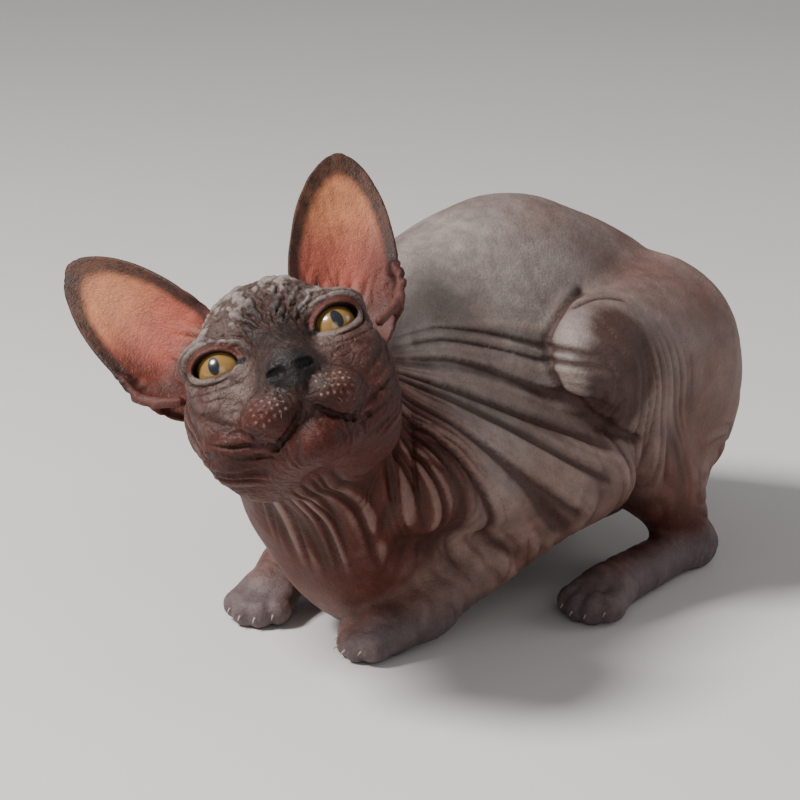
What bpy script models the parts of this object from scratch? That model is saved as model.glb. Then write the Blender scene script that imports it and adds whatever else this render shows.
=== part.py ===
"""A life-size sphynx cat, crouched on its belly with its head raised and turned to its left.

Metres, +Z up. The cat faces -X, its left side is -Y, and it rests on the plane z = 0.
The flesh is one smooth distance field, blended from ellipsoids and tapered bones that are
placed by named joints. The field is meshed once, and thin cuts part it into its named pieces.
"""

import math

import bpy
import bmesh
import numpy as np
import openvdb
from mathutils import Euler, Matrix, Vector

# Fineness of the mesh, and what the pieces keep between them
VOXEL = 0.0016
GAP = 0.0003
FAR = 0.05

# Head: the origin is midway between the eyes, and its axes are left, forward and up
EYES_MIDDLE = Vector((-0.145, -0.039, 0.150))
HEAD_TURN = 38.0
HEAD_LIFT = 33.0
HEAD_TILT = 23.0

EYE_SPACING = 0.0445
EYE_RADIUS = 0.0110
EYE_DEPTH = 0.0098
EYE_OUTWARD = 14.0
EYE_UPWARD = 2.0
EYE_SLANT = 8.0
LID_THICK = 0.0021
OPENING_HALF = 0.0090
OPENING_UP = 0.0053
OPENING_DOWN = 0.0049


def head_axes():
    """Columns: the head's left, forward and up, in the body's frame."""
    turn, lift, tilt = (math.radians(a) for a in (HEAD_TURN, HEAD_LIFT, HEAD_TILT))
    level = np.column_stack(((0, -1, 0), (-1, 0, 0), (0, 0, 1))).astype(float)
    spin = np.array(Matrix.Rotation(turn, 3, "Z"))
    rise = np.array(Matrix.Rotation(lift, 3, Vector(spin @ (0, 1, 0))))
    forward = Vector(rise @ spin @ (-1, 0, 0))
    roll = np.array(Matrix.Rotation(tilt, 3, forward))
    return roll @ rise @ spin @ level


HEAD_AXES = head_axes()


def to_head(points):
    return (points - np.array(EYES_MIDDLE)) @ HEAD_AXES


def from_head(place):
    return np.array(EYES_MIDDLE) + HEAD_AXES @ np.array(place, float)


def soft_min(a, b, k):
    """The smaller of two distances, rounded over a seam about k wide."""
    if k <= 0:
        return np.minimum(a, b)
    h = np.maximum(k - np.abs(a - b), 0) / k
    return np.minimum(a, b) - h * h * k / 4


def soft_max(a, b, k):
    return -soft_min(-a, -b, k)


def ball(centre, radii, turn=(0, 0, 0)):
    """The distance to an ellipsoid, turned by Euler angles in degrees."""
    centre = np.array(centre, float)
    radii = np.array(radii, float)
    basis = np.array(Euler([math.radians(a) for a in turn]).to_matrix())

    def distance(points):
        local = (points - centre) @ basis / radii
        reach = np.sqrt((local**2).sum(1)) + 1e-12
        slope = np.sqrt(((local / radii) ** 2).sum(1)) + 1e-12
        return reach * (reach - 1) / slope

    return distance


def bone(start, end, start_radius, end_radius):
    """The distance to a tapered, round-ended bar."""
    start = np.array(start, float)
    along = np.array(end, float) - start
    length = along @ along

    def distance(points):
        offset = points - start
        share = np.clip(offset @ along / length, 0, 1)
        reach = np.sqrt(((offset - share[:, None] * along) ** 2).sum(1))
        return reach - (start_radius + (end_radius - start_radius) * share)

    return distance


def blend(*forms):
    """One form out of several: pairs of a form and how softly it joins those before it."""

    def distance(points):
        total = forms[0][0](points)
        for form, softness in forms[1:]:
            total = soft_min(total, form(points), softness)
        return total

    return distance


def trail(points, radii, softness):
    """A row of bones through the points, one radius at each."""
    spans = zip(points, points[1:], radii, radii[1:])
    return blend(*[(bone(a, b, r, s), softness) for a, b, r, s in spans])


def near(form, centre, radius):
    """The form, worked out only in a ball round its centre. Further off, the distance to that ball."""
    centre = np.array(centre, float)

    def distance(points):
        far = np.sqrt(((points - centre) ** 2).sum(1)) - radius
        close = far < FAR / 5
        total = far + FAR / 10
        if close.any():
            total[close] = form(points[close])
        return total

    return distance


def in_head(form):
    return lambda points: form(to_head(points))


# How far apart the toes lie, and how thick they are
TOE_PITCH = 0.0068
TOE_RADIUS = 0.0063

TORSO = blend(
    (ball((0.040, 0, 0.093), (0.080, 0.055, 0.078)), 0),
    (ball((-0.022, 0, 0.086), (0.075, 0.047, 0.067)), 0.030),
    (ball((0.100, 0, 0.078), (0.062, 0.048, 0.066)), 0.030),
    (ball((-0.060, 0, 0.072), (0.036, 0.036, 0.046)), 0.030),
    (ball((-0.030, 0, 0.036), (0.050, 0.031, 0.037)), 0.020),
)

NECK = blend(
    (bone((-0.055, -0.002, 0.100), (-0.105, -0.012, 0.120), 0.036, 0.028), 0),
    (bone((-0.070, 0, 0.075), from_head((0, -0.026, -0.032)), 0.030, 0.020), 0.03),
)


def toe_lines(heel, tip, side):
    """Start and end of each of the four toes, in a shallow arc across the front of a paw."""
    heel = np.array(heel)
    tip = np.array(tip)
    ahead = (tip - heel) / np.linalg.norm(tip - heel)
    across = np.cross(ahead, (0, 0, 1.0)) * side * TOE_PITCH
    lines = []
    for place, reach in ((-1.40, -0.0040), (-0.48, 0.0), (0.48, 0.0), (1.40, -0.0045)):
        lines.append((heel + across * place * 0.8, tip + across * place + ahead * reach))
    return lines


def toes(heel, tip, side):
    lines = toe_lines(heel, tip, side)
    return blend(*[(bone(start, end, TOE_RADIUS * 0.95, TOE_RADIUS), 0.001) for start, end in lines])


# Where the joints of each leg lie: the near side is the cat's left
FORE_LEFT = {
    "shoulder": (-0.060, -0.036, 0.082),
    "elbow": (0.030, -0.056, 0.062),
    "wrist": (-0.050, -0.034, 0.0160),
    "knuckles": (-0.066, -0.027, 0.0102),
    "toes": (-0.080, -0.021, 0.0060),
}
FORE_RIGHT = {
    "shoulder": (-0.060, 0.036, 0.080),
    "elbow": (0.030, 0.056, 0.058),
    "wrist": (-0.046, 0.046, 0.0160),
    "knuckles": (-0.062, 0.042, 0.0102),
    "toes": (-0.078, 0.037, 0.0060),
}
HIND_LEFT = {
    "hip": (0.100, -0.034, 0.098),
    "knee": (0.030, -0.060, 0.112),
    "hock": (0.108, -0.058, 0.0098),
    "knuckles": (0.034, -0.066, 0.0102),
    "toes": (0.016, -0.068, 0.0060),
}
HIND_RIGHT = {
    "hip": (0.100, 0.034, 0.098),
    "knee": (0.032, 0.056, 0.108),
    "hock": (0.110, 0.058, 0.0098),
    "knuckles": (0.038, 0.064, 0.0102),
    "toes": (0.020, 0.065, 0.0060),
}


def fore_leg(place, side):
    paw = bone(place["wrist"], place["knuckles"], 0.0110, 0.0112)
    return blend(
        (bone(place["shoulder"], place["elbow"], 0.030, 0.019), 0),
        (bone(place["elbow"], place["wrist"], 0.018, 0.0105), 0.012),
        (paw, 0.008),
        (toes(place["knuckles"], place["toes"], side), 0.004),
    )


def hind_leg(place, side):
    back = np.array(place["hip"]) + (0.004, side * 0.006, -0.028)
    return blend(
        (bone(place["hip"], place["knee"], 0.042, 0.024), 0),
        (bone(place["knee"], place["hock"], 0.022, 0.0105), 0.010),
        (ball(back, (0.044, 0.030, 0.044)), 0.020),
        (bone(place["hock"], place["knuckles"], 0.0095, 0.0110), 0.008),
        (toes(place["knuckles"], place["toes"], side), 0.004),
    )


def smooth_path(knots, count):
    """Points evenly along a smooth curve through the knots. A knot may have any number of values."""
    knots = np.array(knots, float)
    ends = np.vstack((2 * knots[0] - knots[1], knots, 2 * knots[-1] - knots[-2]))
    places = []
    for step in np.linspace(0, len(knots) - 1, count):
        first = min(int(step), len(knots) - 2)
        t = step - first
        a, b, c, d = ends[first : first + 4]
        bend = 2 * a - 5 * b + 4 * c - d + t * (3 * b - a - 3 * c + d)
        places.append(b + t / 2 * (c - a + t * bend))
    return np.array(places)


# The tail's course round the right side: x, y, z and radius
TAIL_KNOTS = [
    (0.140, 0.002, 0.100, 0.0125),
    (0.168, 0.014, 0.060, 0.0105),
    (0.170, 0.044, 0.0120, 0.0092),
    (0.142, 0.077, 0.0072, 0.0080),
    (0.092, 0.093, 0.0062, 0.0070),
    (0.040, 0.094, 0.0052, 0.0060),
    (-0.010, 0.084, 0.0036, 0.0044),
]
TAIL_COURSE = smooth_path(TAIL_KNOTS, 31)
TAIL = trail(TAIL_COURSE[:, :3], TAIL_COURSE[:, 3], 0.001)


# How much further out each cheek hangs: the turned head draws the loose skin to the cat's right
LOOSE_SKIN = {1: -0.0025, -1: 0.0010}


def head_form():
    """The head without its eyes and ears, in its own frame: left, forward, up."""
    forms = [
        (ball((0, -0.036, 0.006), (0.031, 0.038, 0.030)), 0),
        (ball((0, -0.013, 0.009), (0.026, 0.016, 0.019)), 0.010),
        (bone((0, -0.004, 0.000), (0, 0.0185, -0.0150), 0.0125, 0.0085), 0.010),
        (ball((0, 0.002, -0.026), (0.023, 0.018, 0.017)), 0.010),
        (ball((0, -0.020, -0.028), (0.027, 0.028, 0.021)), 0.012),
    ]
    for side in (1, -1):
        slack = LOOSE_SKIN[side]
        forms += [
            (ball((side * 0.0240, -0.0085, 0.0070), (0.0140, 0.0105, 0.0085)), 0.006),
            (ball((side * 0.0200, -0.0060, -0.0140), (0.0130, 0.0120, 0.0110)), 0.008),
            (ball((side * (0.0285 + slack / 2), -0.0150, -0.0130), (0.0120, 0.0190, 0.0150)), 0.010),
            (ball((side * (0.0270 + slack), -0.0130, -0.0310), (0.0130, 0.0190, 0.0130)), 0.010),
            (ball((side * (0.0300 + slack), -0.0320, -0.0140), (0.0115, 0.0180, 0.0140)), 0.010),
            (bone((side * 0.006, 0.008, -0.044), (side * 0.022, -0.026, -0.038), 0.0085, 0.0110), 0.008),
            (ball((side * 0.0108, 0.0135, -0.0310), (0.0130, 0.0128, 0.0092)), 0.006),
        ]
    forms += [
        (ball((0, 0.0220, -0.0183), (0.0094, 0.0070, 0.0056)), 0.0030),
        (ball((0, 0.0235, -0.0235), (0.0040, 0.0048, 0.0060)), 0.0020),
        (ball((0, 0.0125, -0.0455), (0.0105, 0.0090, 0.0080)), 0.003),
    ]
    return blend(*forms)


def mouth(side):
    """The line of the mouth on one side, from below the nose to the corner of the lips."""
    line = [
        (0, 0.0275, -0.0275),
        (0, 0.0240, -0.0340),
        (side * 0.0035, 0.0225, -0.0365),
        (side * 0.0095, 0.0180, -0.0400),
        (side * 0.0155, 0.0115, -0.0412),
        (side * 0.0225, 0.0040, -0.0400),
    ]
    return trail(line, [0.0008, 0.0012, 0.0014, 0.0014, 0.0014, 0.0009], 0.001)


def nostril(side):
    start = (side * 0.0045, 0.0285, -0.0200)
    end = (side * 0.0088, 0.0245, -0.0188)
    return bone(start, end, 0.0024, 0.0014)


def eye_frame(side):
    """Where an eye lies in the head's frame, and its own axes: left, forward and up."""
    out = math.radians(-side * EYE_OUTWARD)
    up = math.radians(EYE_UPWARD)
    slant = math.radians(-side * EYE_SLANT)
    turn = Euler((up, slant, 0)).to_matrix()
    turn.rotate(Euler((0, 0, out)))
    return np.array((side * EYE_SPACING / 2, -EYE_DEPTH, 0)), np.array(turn)


def lids(side):
    """The rounded lids over an eye, before they are opened."""
    centre = eye_frame(side)[0]
    reach = EYE_RADIUS + LID_THICK
    return ball(centre, (reach, reach, reach * 0.97))


def opening(side):
    """The almond between the lids, as a hollow that runs forward from inside the eye."""
    centre, axes = eye_frame(side)

    def distance(points):
        a, b, c = ((points - centre) @ axes).T
        tall = np.where(c > 0, OPENING_UP, OPENING_DOWN)
        wide = np.abs(a) / OPENING_HALF
        high = np.abs(c) / tall
        reach = wide**2.0 + high**1.7 - 1
        slope = np.hypot(2.0 * wide / OPENING_HALF, 1.7 * high**0.7 / tall) + 40
        return np.maximum(reach / slope, 0.002 - b)

    return distance


# An ear: how tall and wide, how its edges curl forward, and how it stands on the head
EAR_TALL = 0.072
EAR_HALF = 0.0225
EAR_THICK = 0.0024
EAR_ROOT = (0.0315, -0.0330, 0.0130)
EAR_UP = {1: (0.34, -0.06, 0.93), -1: (-0.44, -0.06, 0.90)}
EAR_OUT = (0.90, -0.15, -0.36)


def ear_axes(side):
    """The ear's outward, forward and upward directions in the head's frame."""
    up = Vector(EAR_UP[side]).normalized()
    out = Vector((side * EAR_OUT[0], EAR_OUT[1], EAR_OUT[2]))
    out = (out - up * out.dot(up)).normalized()
    front = up.cross(out) * side
    return np.array((out, front, up)).T


def ear_root(side):
    return np.array((side * EAR_ROOT[0], EAR_ROOT[1], EAR_ROOT[2]))


def ear(side):
    """The cup of an ear: a bent sheet inside a tapering outline."""
    axes = ear_axes(side)
    root = ear_root(side)

    def distance(points):
        a, b, c = ((points - root) @ axes).T
        t = np.clip(c / EAR_TALL, 0, None)
        curl = 18.0 - 8.0 * np.clip(t, 0, 1)
        steep = np.sqrt(1 + (2 * curl * a) ** 2)
        sheet = np.abs(b - curl * a * a + 0.008) / steep - EAR_THICK / 2
        part = np.abs(a) / (EAR_HALF * (1 + np.clip(c, -0.03, 0) / 0.05))
        reach = part**1.7 + t**2.6 - 1
        slope = np.hypot(1.7 * part**0.7 / EAR_HALF, 2.6 * t**1.6 / EAR_TALL) + 8
        rim = np.maximum(reach / slope, -0.018 - c)
        return soft_max(sheet, rim, 0.0012)

    return distance


def ear_hollow(side):
    """The deep of the ear's cup, pressed into the head in front of the bent sheet."""
    axes = ear_axes(side)
    high = ear_root(side) + axes @ (0.002, 0.010, 0.026)
    low = ear_root(side) + axes @ (0.004, 0.000, 0.000)
    return bone(high, low, 0.0150, 0.0060)


def ear_notch(side):
    """The small double fold low on the ear's outer edge."""
    axes = ear_axes(side)
    places = [
        (0.0205, 0.0005, 0.020),
        (0.0222, 0.0015, 0.011),
        (0.0195, 0.0030, 0.002),
        (0.0130, 0.0060, -0.006),
    ]
    line = [ear_root(side) + axes @ place for place in places]
    return trail(line, [0.0011, 0.0017, 0.0019, 0.0019], 0.002)


HEAD = head_form()


def face(points):
    """The head with its lids, lips and nostrils, in its own frame."""
    total = HEAD(points)
    for side in (1, -1):
        total = soft_min(total, lids(side)(points), 0.004)
    for side in (1, -1):
        total = soft_max(total, -opening(side)(points), 0.0012)
        total = soft_max(total, -mouth(side)(points), 0.0010)
        total = soft_max(total, -nostril(side)(points), 0.0010)
        total = soft_max(total, -ear_hollow(side)(points), 0.005)
    for side in (1, -1):
        total = soft_min(total, ear(side)(points), 0.003)
        total = soft_min(total, ear_notch(side)(points), 0.004)
    return total


LEGS = {
    "fore_left": near(fore_leg(FORE_LEFT, -1), (-0.020, -0.04, 0.050), 0.100),
    "fore_right": near(fore_leg(FORE_RIGHT, 1), (-0.020, 0.04, 0.050), 0.100),
    "hind_left": near(hind_leg(HIND_LEFT, -1), (0.08, -0.055, 0.065), 0.12),
    "hind_right": near(hind_leg(HIND_RIGHT, 1), (0.08, 0.055, 0.065), 0.12),
}


def flesh(points):
    """The distance to the cat's skin, without its eyes."""
    total = TORSO(points)
    total = soft_min(total, near(NECK, (-0.10, -0.01, 0.10), 0.09)(points), 0.020)
    for leg in LEGS.values():
        total = soft_min(total, leg(points), 0.007)
    total = soft_min(total, near(TAIL, (0.08, 0.06, 0.04), 0.15)(points), 0.006)
    total = soft_min(total, near(in_head(face), EYES_MIDDLE, 0.12)(points), 0.012)
    return np.maximum(total, -0.008 - points[:, 2])


def sample(field, low, high, voxel, coarse=5):
    """The field on a grid. Blocks far from the surface are worked out at their middle only."""
    low = np.array(low, float)
    blocks = np.ceil((np.array(high) - low) / (voxel * coarse)).astype(int)
    step = voxel * coarse
    ijk = np.indices(blocks).reshape(3, -1).T
    middles = low + (ijk + 0.5) * step - voxel / 2
    rough = field(middles)
    reach = step * 0.87 + 3 * voxel
    grid = np.repeat(np.repeat(np.repeat(rough.reshape(blocks), coarse, 0), coarse, 1), coarse, 2)
    grid = grid.astype(np.float32)
    close = ijk[np.abs(rough) < reach * 1.6]
    inner = np.indices((coarse,) * 3).reshape(3, -1).T
    for start in range(0, len(close), 20000):
        cells = (close[start : start + 20000, None] * coarse + inner).reshape(-1, 3)
        grid[tuple(cells.T)] = field(low + cells * voxel)
    return grid


def settle(field, points, step, rounds=2):
    """Points drawn onto the field's surface, each along the field's own slope."""
    for turn in range(rounds):
        value = field(points)
        slope = np.empty_like(points)
        for axis in range(3):
            nudge = np.zeros(3)
            nudge[axis] = step
            slope[:, axis] = (field(points + nudge) - value) / step
        size = np.maximum((slope**2).sum(1), 0.05)
        move = -slope * (value / size)[:, None]
        reach = np.sqrt((move**2).sum(1))
        move *= np.minimum(1, 2 * step / np.maximum(reach, 1e-9))[:, None]
        points = points + move
    return points


def skin_mesh(field, low, high, voxel, name):
    """The zero surface of the field as a Blender mesh of quads."""
    grid = openvdb.FloatGrid(FAR)
    values = np.clip(sample(field, low, high, voxel), -4 * voxel, 4 * voxel)
    grid.copyFromArray(values)
    points, triangles, quads = grid.convertToPolygons(isovalue=0.0, adaptivity=0.0)
    points = settle(field, np.asarray(points) * voxel + np.array(low), voxel / 4)
    mesh = bpy.data.meshes.new(name)
    mesh.from_pydata(points.tolist(), [], quads.tolist())
    mesh.validate()
    return mesh


# The corners of the space that the field is meshed in
LOW = (-0.20, -0.12, -0.012)
HIGH = (0.20, 0.12, 0.24)

# How many triangles the flesh keeps
FLESH_FACES = 8000

# The body is moved by this much, so that its box stands centred over the origin
SHIFT = (-0.0017, -0.0082, 0.0)

SKIN_BACK = ("skin_back", (0.30, 0.235, 0.215), 0.55)
SKIN_WARM = ("skin_warm", (0.25, 0.125, 0.095), 0.55)
SKIN_MASK = ("skin_mask", (0.115, 0.085, 0.080), 0.55)
SKIN_EAR = ("skin_ear", (0.46, 0.185, 0.11), 0.55)
SKIN_PAW = ("skin_paw", (0.15, 0.13, 0.14), 0.55)
EYE_AMBER = ("eye_amber", (0.42, 0.23, 0.06), 0.08)


def material(kind):
    name, colour, roughness = kind
    known = bpy.data.materials.get(name)
    if known:
        return known
    made = bpy.data.materials.new(name)
    made.use_nodes = True
    made.diffuse_color = (*colour, 1)
    shader = made.node_tree.nodes["Principled BSDF"]
    shader.inputs["Base Color"].default_value = (*colour, 1)
    shader.inputs["Roughness"].default_value = roughness
    shader.inputs["Metallic"].default_value = 0.0
    return made


def baked(body, collection, name):
    """A plain mesh object with the modifiers of another worked in."""
    graph = bpy.context.evaluated_depsgraph_get()
    mesh = bpy.data.meshes.new_from_object(body.evaluated_get(graph))
    made = bpy.data.objects.new(name, mesh)
    made.matrix_world = body.matrix_world
    collection.objects.link(made)
    return made


def largest_body(made):
    """Only the biggest closed surface of a mesh is kept."""
    shape = bmesh.new()
    shape.from_mesh(made.data)
    left = set(shape.verts)
    groups = []
    while left:
        group = set()
        pending = [left.pop()]
        while pending:
            vert = pending.pop()
            group.add(vert)
            for edge in vert.link_edges:
                other = edge.other_vert(vert)
                if other in left:
                    left.discard(other)
                    pending.append(other)
        groups.append(group)
    groups.sort(key=len)
    for group in groups[:-1]:
        bmesh.ops.delete(shape, geom=list(group), context="VERTS")
    shape.to_mesh(made.data)
    shape.free()


def combine(body, cutter, operation, collection, name):
    """The body with a cutter taken from it, or only what lies inside the cutter."""
    change = body.modifiers.new("cut", "BOOLEAN")
    change.operation = operation
    change.object = cutter
    change.solver = "MANIFOLD"
    made = baked(body, collection, name)
    body.modifiers.remove(change)
    largest_body(made)
    return made


def egg(name, centre, radii, turn, cutters, grow=0.0):
    """A cutter: an ellipsoid of flat facets, turned by Euler angles in degrees."""
    bpy.ops.mesh.primitive_ico_sphere_add(subdivisions=2, radius=1)
    made = bpy.context.object
    made.name = name
    made.scale = [r + grow for r in radii]
    made.rotation_euler = [math.radians(a) for a in turn]
    made.location = centre
    as_cutter(made, cutters)
    return made


def slab(name, centre, size, aim, cutters, grow=0.0):
    """A cutter: a box whose own z axis points along aim."""
    bpy.ops.mesh.primitive_cube_add(size=1)
    made = bpy.context.object
    made.name = name
    made.scale = (size[0] + 2 * grow, size[1] + 2 * grow, size[2] + 2 * grow)
    made.rotation_mode = "QUATERNION"
    made.rotation_quaternion = Vector(aim).to_track_quat("Z", "Y")
    made.location = centre
    as_cutter(made, cutters)
    return made


def as_cutter(made, cutters):
    into(made, cutters)
    made.display_type = "WIRE"
    made.hide_render = True


def into(made, collection):
    for holder in list(made.users_collection):
        holder.objects.unlink(made)
    collection.objects.link(made)


def aimed_egg(start, end, long, wide, deep):
    """Centre, radii and turn of an ellipsoid that reaches past both ends of a bone."""
    start = Vector(start)
    end = Vector(end)
    along = end - start
    turn = [math.degrees(a) for a in along.to_track_quat("X", "Z").to_euler()]
    return (start + end) / 2, (along.length / 2 + long, wide, deep), turn


def ear_egg(side):
    axes = ear_axes(side)
    centre = from_head(ear_root(side) + axes @ (0, 0.004, 0.046))
    turned = Matrix((HEAD_AXES @ axes).tolist())
    if turned.determinant() < 0:
        turned = Matrix((HEAD_AXES @ axes * (-1, 1, 1)).tolist())
    turn = [math.degrees(a) for a in turned.to_euler()]
    return centre, (0.034, 0.024, 0.036), turn


def flesh_object(collection):
    """The whole of the flesh as one mesh, with fewer faces."""
    mesh = skin_mesh(flesh, LOW, HIGH, VOXEL, "flesh")
    body = bpy.data.objects.new("flesh", mesh)
    collection.objects.link(body)
    fewer = body.modifiers.new("fewer faces", "DECIMATE")
    fewer.ratio = FLESH_FACES / (2 * len(mesh.polygons))
    return body


def build():
    for old in list(bpy.data.objects):
        bpy.data.objects.remove(old)
    scene = bpy.context.scene.collection
    cat = bpy.data.collections.new("sphynx_cat")
    cutters = bpy.data.collections.new("cutters")
    scene.children.link(cat)
    scene.children.link(cutters)

    whole = flesh_object(cat)
    rest = baked(whole, cat, "rest")
    bpy.data.objects.remove(whole)

    floor = slab("floor_cutter", (0, 0, 0.25), (1, 1, 0.5), (0, 0, 1), cutters)
    cut = combine(rest, floor, "INTERSECT", cat, "rest")
    bpy.data.objects.remove(rest)
    rest = cut

    for side, name in ((1, "left"), (-1, "right")):
        centre = from_head(eye_frame(side)[0])
        bpy.ops.mesh.primitive_uv_sphere_add(segments=24, ring_count=14, radius=EYE_RADIUS + GAP)
        hollow = bpy.context.object
        hollow.name = f"socket_{name}"
        hollow.location = centre
        as_cutter(hollow, cutters)
        cut = combine(rest, hollow, "DIFFERENCE", cat, "rest")
        bpy.data.objects.remove(rest)
        rest = cut
        bpy.ops.mesh.primitive_uv_sphere_add(segments=24, ring_count=14, radius=EYE_RADIUS)
        eye = bpy.context.object
        eye.name = f"eye_{name}"
        eye.location = centre
        into(eye, cat)
        eye.data.materials.append(material(EYE_AMBER))

    def part(name, centre, radii, turn, kind):
        nonlocal rest
        inner = egg(f"{name}_cutter", centre, radii, turn, cutters)
        outer = egg(f"{name}_clearance", centre, radii, turn, cutters, GAP)
        finish(combine(rest, inner, "INTERSECT", cat, name), centre, kind)
        cut = combine(rest, outer, "DIFFERENCE", cat, "rest")
        bpy.data.objects.remove(rest)
        rest = cut

    def slice_off(name, centre, size, aim, kind):
        nonlocal rest
        inner = slab(f"{name}_cutter", centre, size, aim, cutters)
        outer = slab(f"{name}_clearance", centre, size, aim, cutters, GAP)
        finish(combine(rest, inner, "INTERSECT", cat, name), centre, kind)
        cut = combine(rest, outer, "DIFFERENCE", cat, "rest")
        bpy.data.objects.remove(rest)
        rest = cut

    def finish(made, centre, kind):
        made.data.transform(Matrix.Translation(-Vector(centre)))
        made.location = centre
        made.data.materials.clear()
        made.data.materials.append(material(kind))

    for side, name in ((1, "left"), (-1, "right")):
        part(f"ear_{name}", *ear_egg(side), SKIN_EAR)
    slice_off("head", (-0.140, -0.035, 0.160), (0.16, 0.16, 0.145), (-0.62, -0.25, 0.52), SKIN_MASK)
    slice_off("neck", (-0.094, -0.010, 0.118), (0.11, 0.11, 0.070), (-0.75, -0.12, 0.62), SKIN_WARM)

    for name, place in (("left", FORE_LEFT), ("right", FORE_RIGHT)):
        shape = aimed_egg(place["knuckles"], place["toes"], 0.022, 0.019, 0.018)
        part(f"forepaw_{name}", *shape, SKIN_PAW)
        shape = aimed_egg(place["elbow"], place["wrist"], 0.022, 0.023, 0.022)
        part(f"forearm_{name}", *shape, SKIN_WARM)
        shape = aimed_egg(place["shoulder"], place["elbow"], 0.024, 0.038, 0.036)
        part(f"upper_foreleg_{name}", *shape, SKIN_BACK)
    for name, place in (("left", HIND_LEFT), ("right", HIND_RIGHT)):
        ahead = Vector(place["toes"]) - Vector(place["knuckles"])
        middle = Vector(place["toes"]) + ahead * 0.2
        slice_off(f"hind_toes_{name}", middle, (0.05, 0.05, 0.050), ahead, SKIN_PAW)
        shape = aimed_egg(place["hock"], place["knuckles"], 0.024, 0.021, 0.018)
        part(f"hind_foot_{name}", *shape, SKIN_PAW)
        shape = aimed_egg(place["hip"], place["knee"], 0.036, 0.044, 0.052)
        part(f"thigh_{name}", *shape, SKIN_BACK)
    for name, knot, size in (("tip", 5, 0.15), ("middle", 3, 0.12), ("base", 1, 0.07)):
        ahead = Vector(TAIL_KNOTS[knot + 1][:3]) - Vector(TAIL_KNOTS[knot][:3])
        middle = Vector(TAIL_KNOTS[knot][:3]) + ahead.normalized() * size / 2
        slice_off(f"tail_{name}", middle, (0.04, 0.10, size), ahead, SKIN_WARM)
    rest.name = "torso"
    rest.data.materials.clear()
    rest.data.materials.append(material(SKIN_BACK))

    base = bpy.data.objects.new("cat_base", None)
    base.location = SHIFT
    cat.objects.link(base)
    for made in list(cat.objects) + list(cutters.objects):
        if made is not base:
            made.parent = base
    bpy.context.view_layer.update()


build()
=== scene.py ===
"""The looks of the life-size sphynx cat: one wrinkled skin over its solids, and its eyes.

The skin is the solids' own distance field, meshed more finely and then creased. Lengths are in
metres. The cat's frame is the solids' frame before SHIFT, which every finished mesh is moved by.
"""

import math

import bpy
import numpy as np
import openvdb
from mathutils import Euler, Matrix, Vector


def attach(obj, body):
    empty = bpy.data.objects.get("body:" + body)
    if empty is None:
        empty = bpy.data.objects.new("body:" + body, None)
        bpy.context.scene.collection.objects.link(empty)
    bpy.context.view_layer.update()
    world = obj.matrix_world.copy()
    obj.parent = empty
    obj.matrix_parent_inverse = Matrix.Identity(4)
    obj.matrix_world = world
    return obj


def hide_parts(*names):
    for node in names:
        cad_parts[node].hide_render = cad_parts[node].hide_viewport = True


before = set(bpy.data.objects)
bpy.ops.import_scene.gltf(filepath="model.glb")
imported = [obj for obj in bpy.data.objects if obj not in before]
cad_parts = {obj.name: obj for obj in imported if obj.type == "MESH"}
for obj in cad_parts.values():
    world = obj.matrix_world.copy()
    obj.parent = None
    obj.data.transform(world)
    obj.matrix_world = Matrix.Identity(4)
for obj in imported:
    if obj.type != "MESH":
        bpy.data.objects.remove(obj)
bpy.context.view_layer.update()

# The cat's frame to the solids' frame, and how finely the skin is meshed
SHIFT = (-0.0017, -0.0082, 0.0)
VOXEL = 0.0013
FAR = 0.05
LOW = (-0.20, -0.12, -0.012)
HIGH = (0.20, 0.12, 0.24)

# Head: the origin is midway between the eyes, and its axes are left, forward and up
EYES_MIDDLE = Vector((-0.145, -0.039, 0.15))
HEAD_TURN = 38.0
HEAD_LIFT = 33.0
HEAD_TILT = 23.0

EYE_SPACING = 0.0445
EYE_RADIUS = 0.011
EYE_DEPTH = 0.0098
EYE_OUTWARD = 14.0
EYE_UPWARD = 2.0
EYE_SLANT = 8.0
LID_THICK = 0.0021
OPENING_HALF = 0.009
OPENING_UP = 0.0053
OPENING_DOWN = 0.0049


def head_axes():
    """Columns: the head's left, forward and up, in the body's frame."""
    turn, lift, tilt = (math.radians(a) for a in (HEAD_TURN, HEAD_LIFT, HEAD_TILT))
    level = np.column_stack(((0, -1, 0), (-1, 0, 0), (0, 0, 1))).astype(float)
    spin = np.array(Matrix.Rotation(turn, 3, "Z"))
    rise = np.array(Matrix.Rotation(lift, 3, Vector(spin @ (0, 1, 0))))
    forward = Vector(rise @ spin @ (-1, 0, 0))
    roll = np.array(Matrix.Rotation(tilt, 3, forward))
    return roll @ rise @ spin @ level


HEAD_AXES = head_axes()


def to_head(points):
    return (points - np.array(EYES_MIDDLE)) @ HEAD_AXES


def from_head(place):
    return np.array(EYES_MIDDLE) + HEAD_AXES @ np.array(place, float)


def soft_min(a, b, k):
    """The smaller of two distances, rounded over a seam about k wide."""
    if k <= 0:
        return np.minimum(a, b)
    h = np.maximum(k - np.abs(a - b), 0) / k
    return np.minimum(a, b) - h * h * k / 4


def soft_max(a, b, k):
    return -soft_min(-a, -b, k)


def ball(centre, radii, turn=(0, 0, 0)):
    """The distance to an ellipsoid, turned by Euler angles in degrees."""
    centre = np.array(centre, float)
    radii = np.array(radii, float)
    basis = np.array(Euler([math.radians(a) for a in turn]).to_matrix())

    def distance(points):
        local = (points - centre) @ basis / radii
        reach = np.sqrt((local**2).sum(1)) + 1e-12
        slope = np.sqrt(((local / radii) ** 2).sum(1)) + 1e-12
        return reach * (reach - 1) / slope

    return distance


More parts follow.
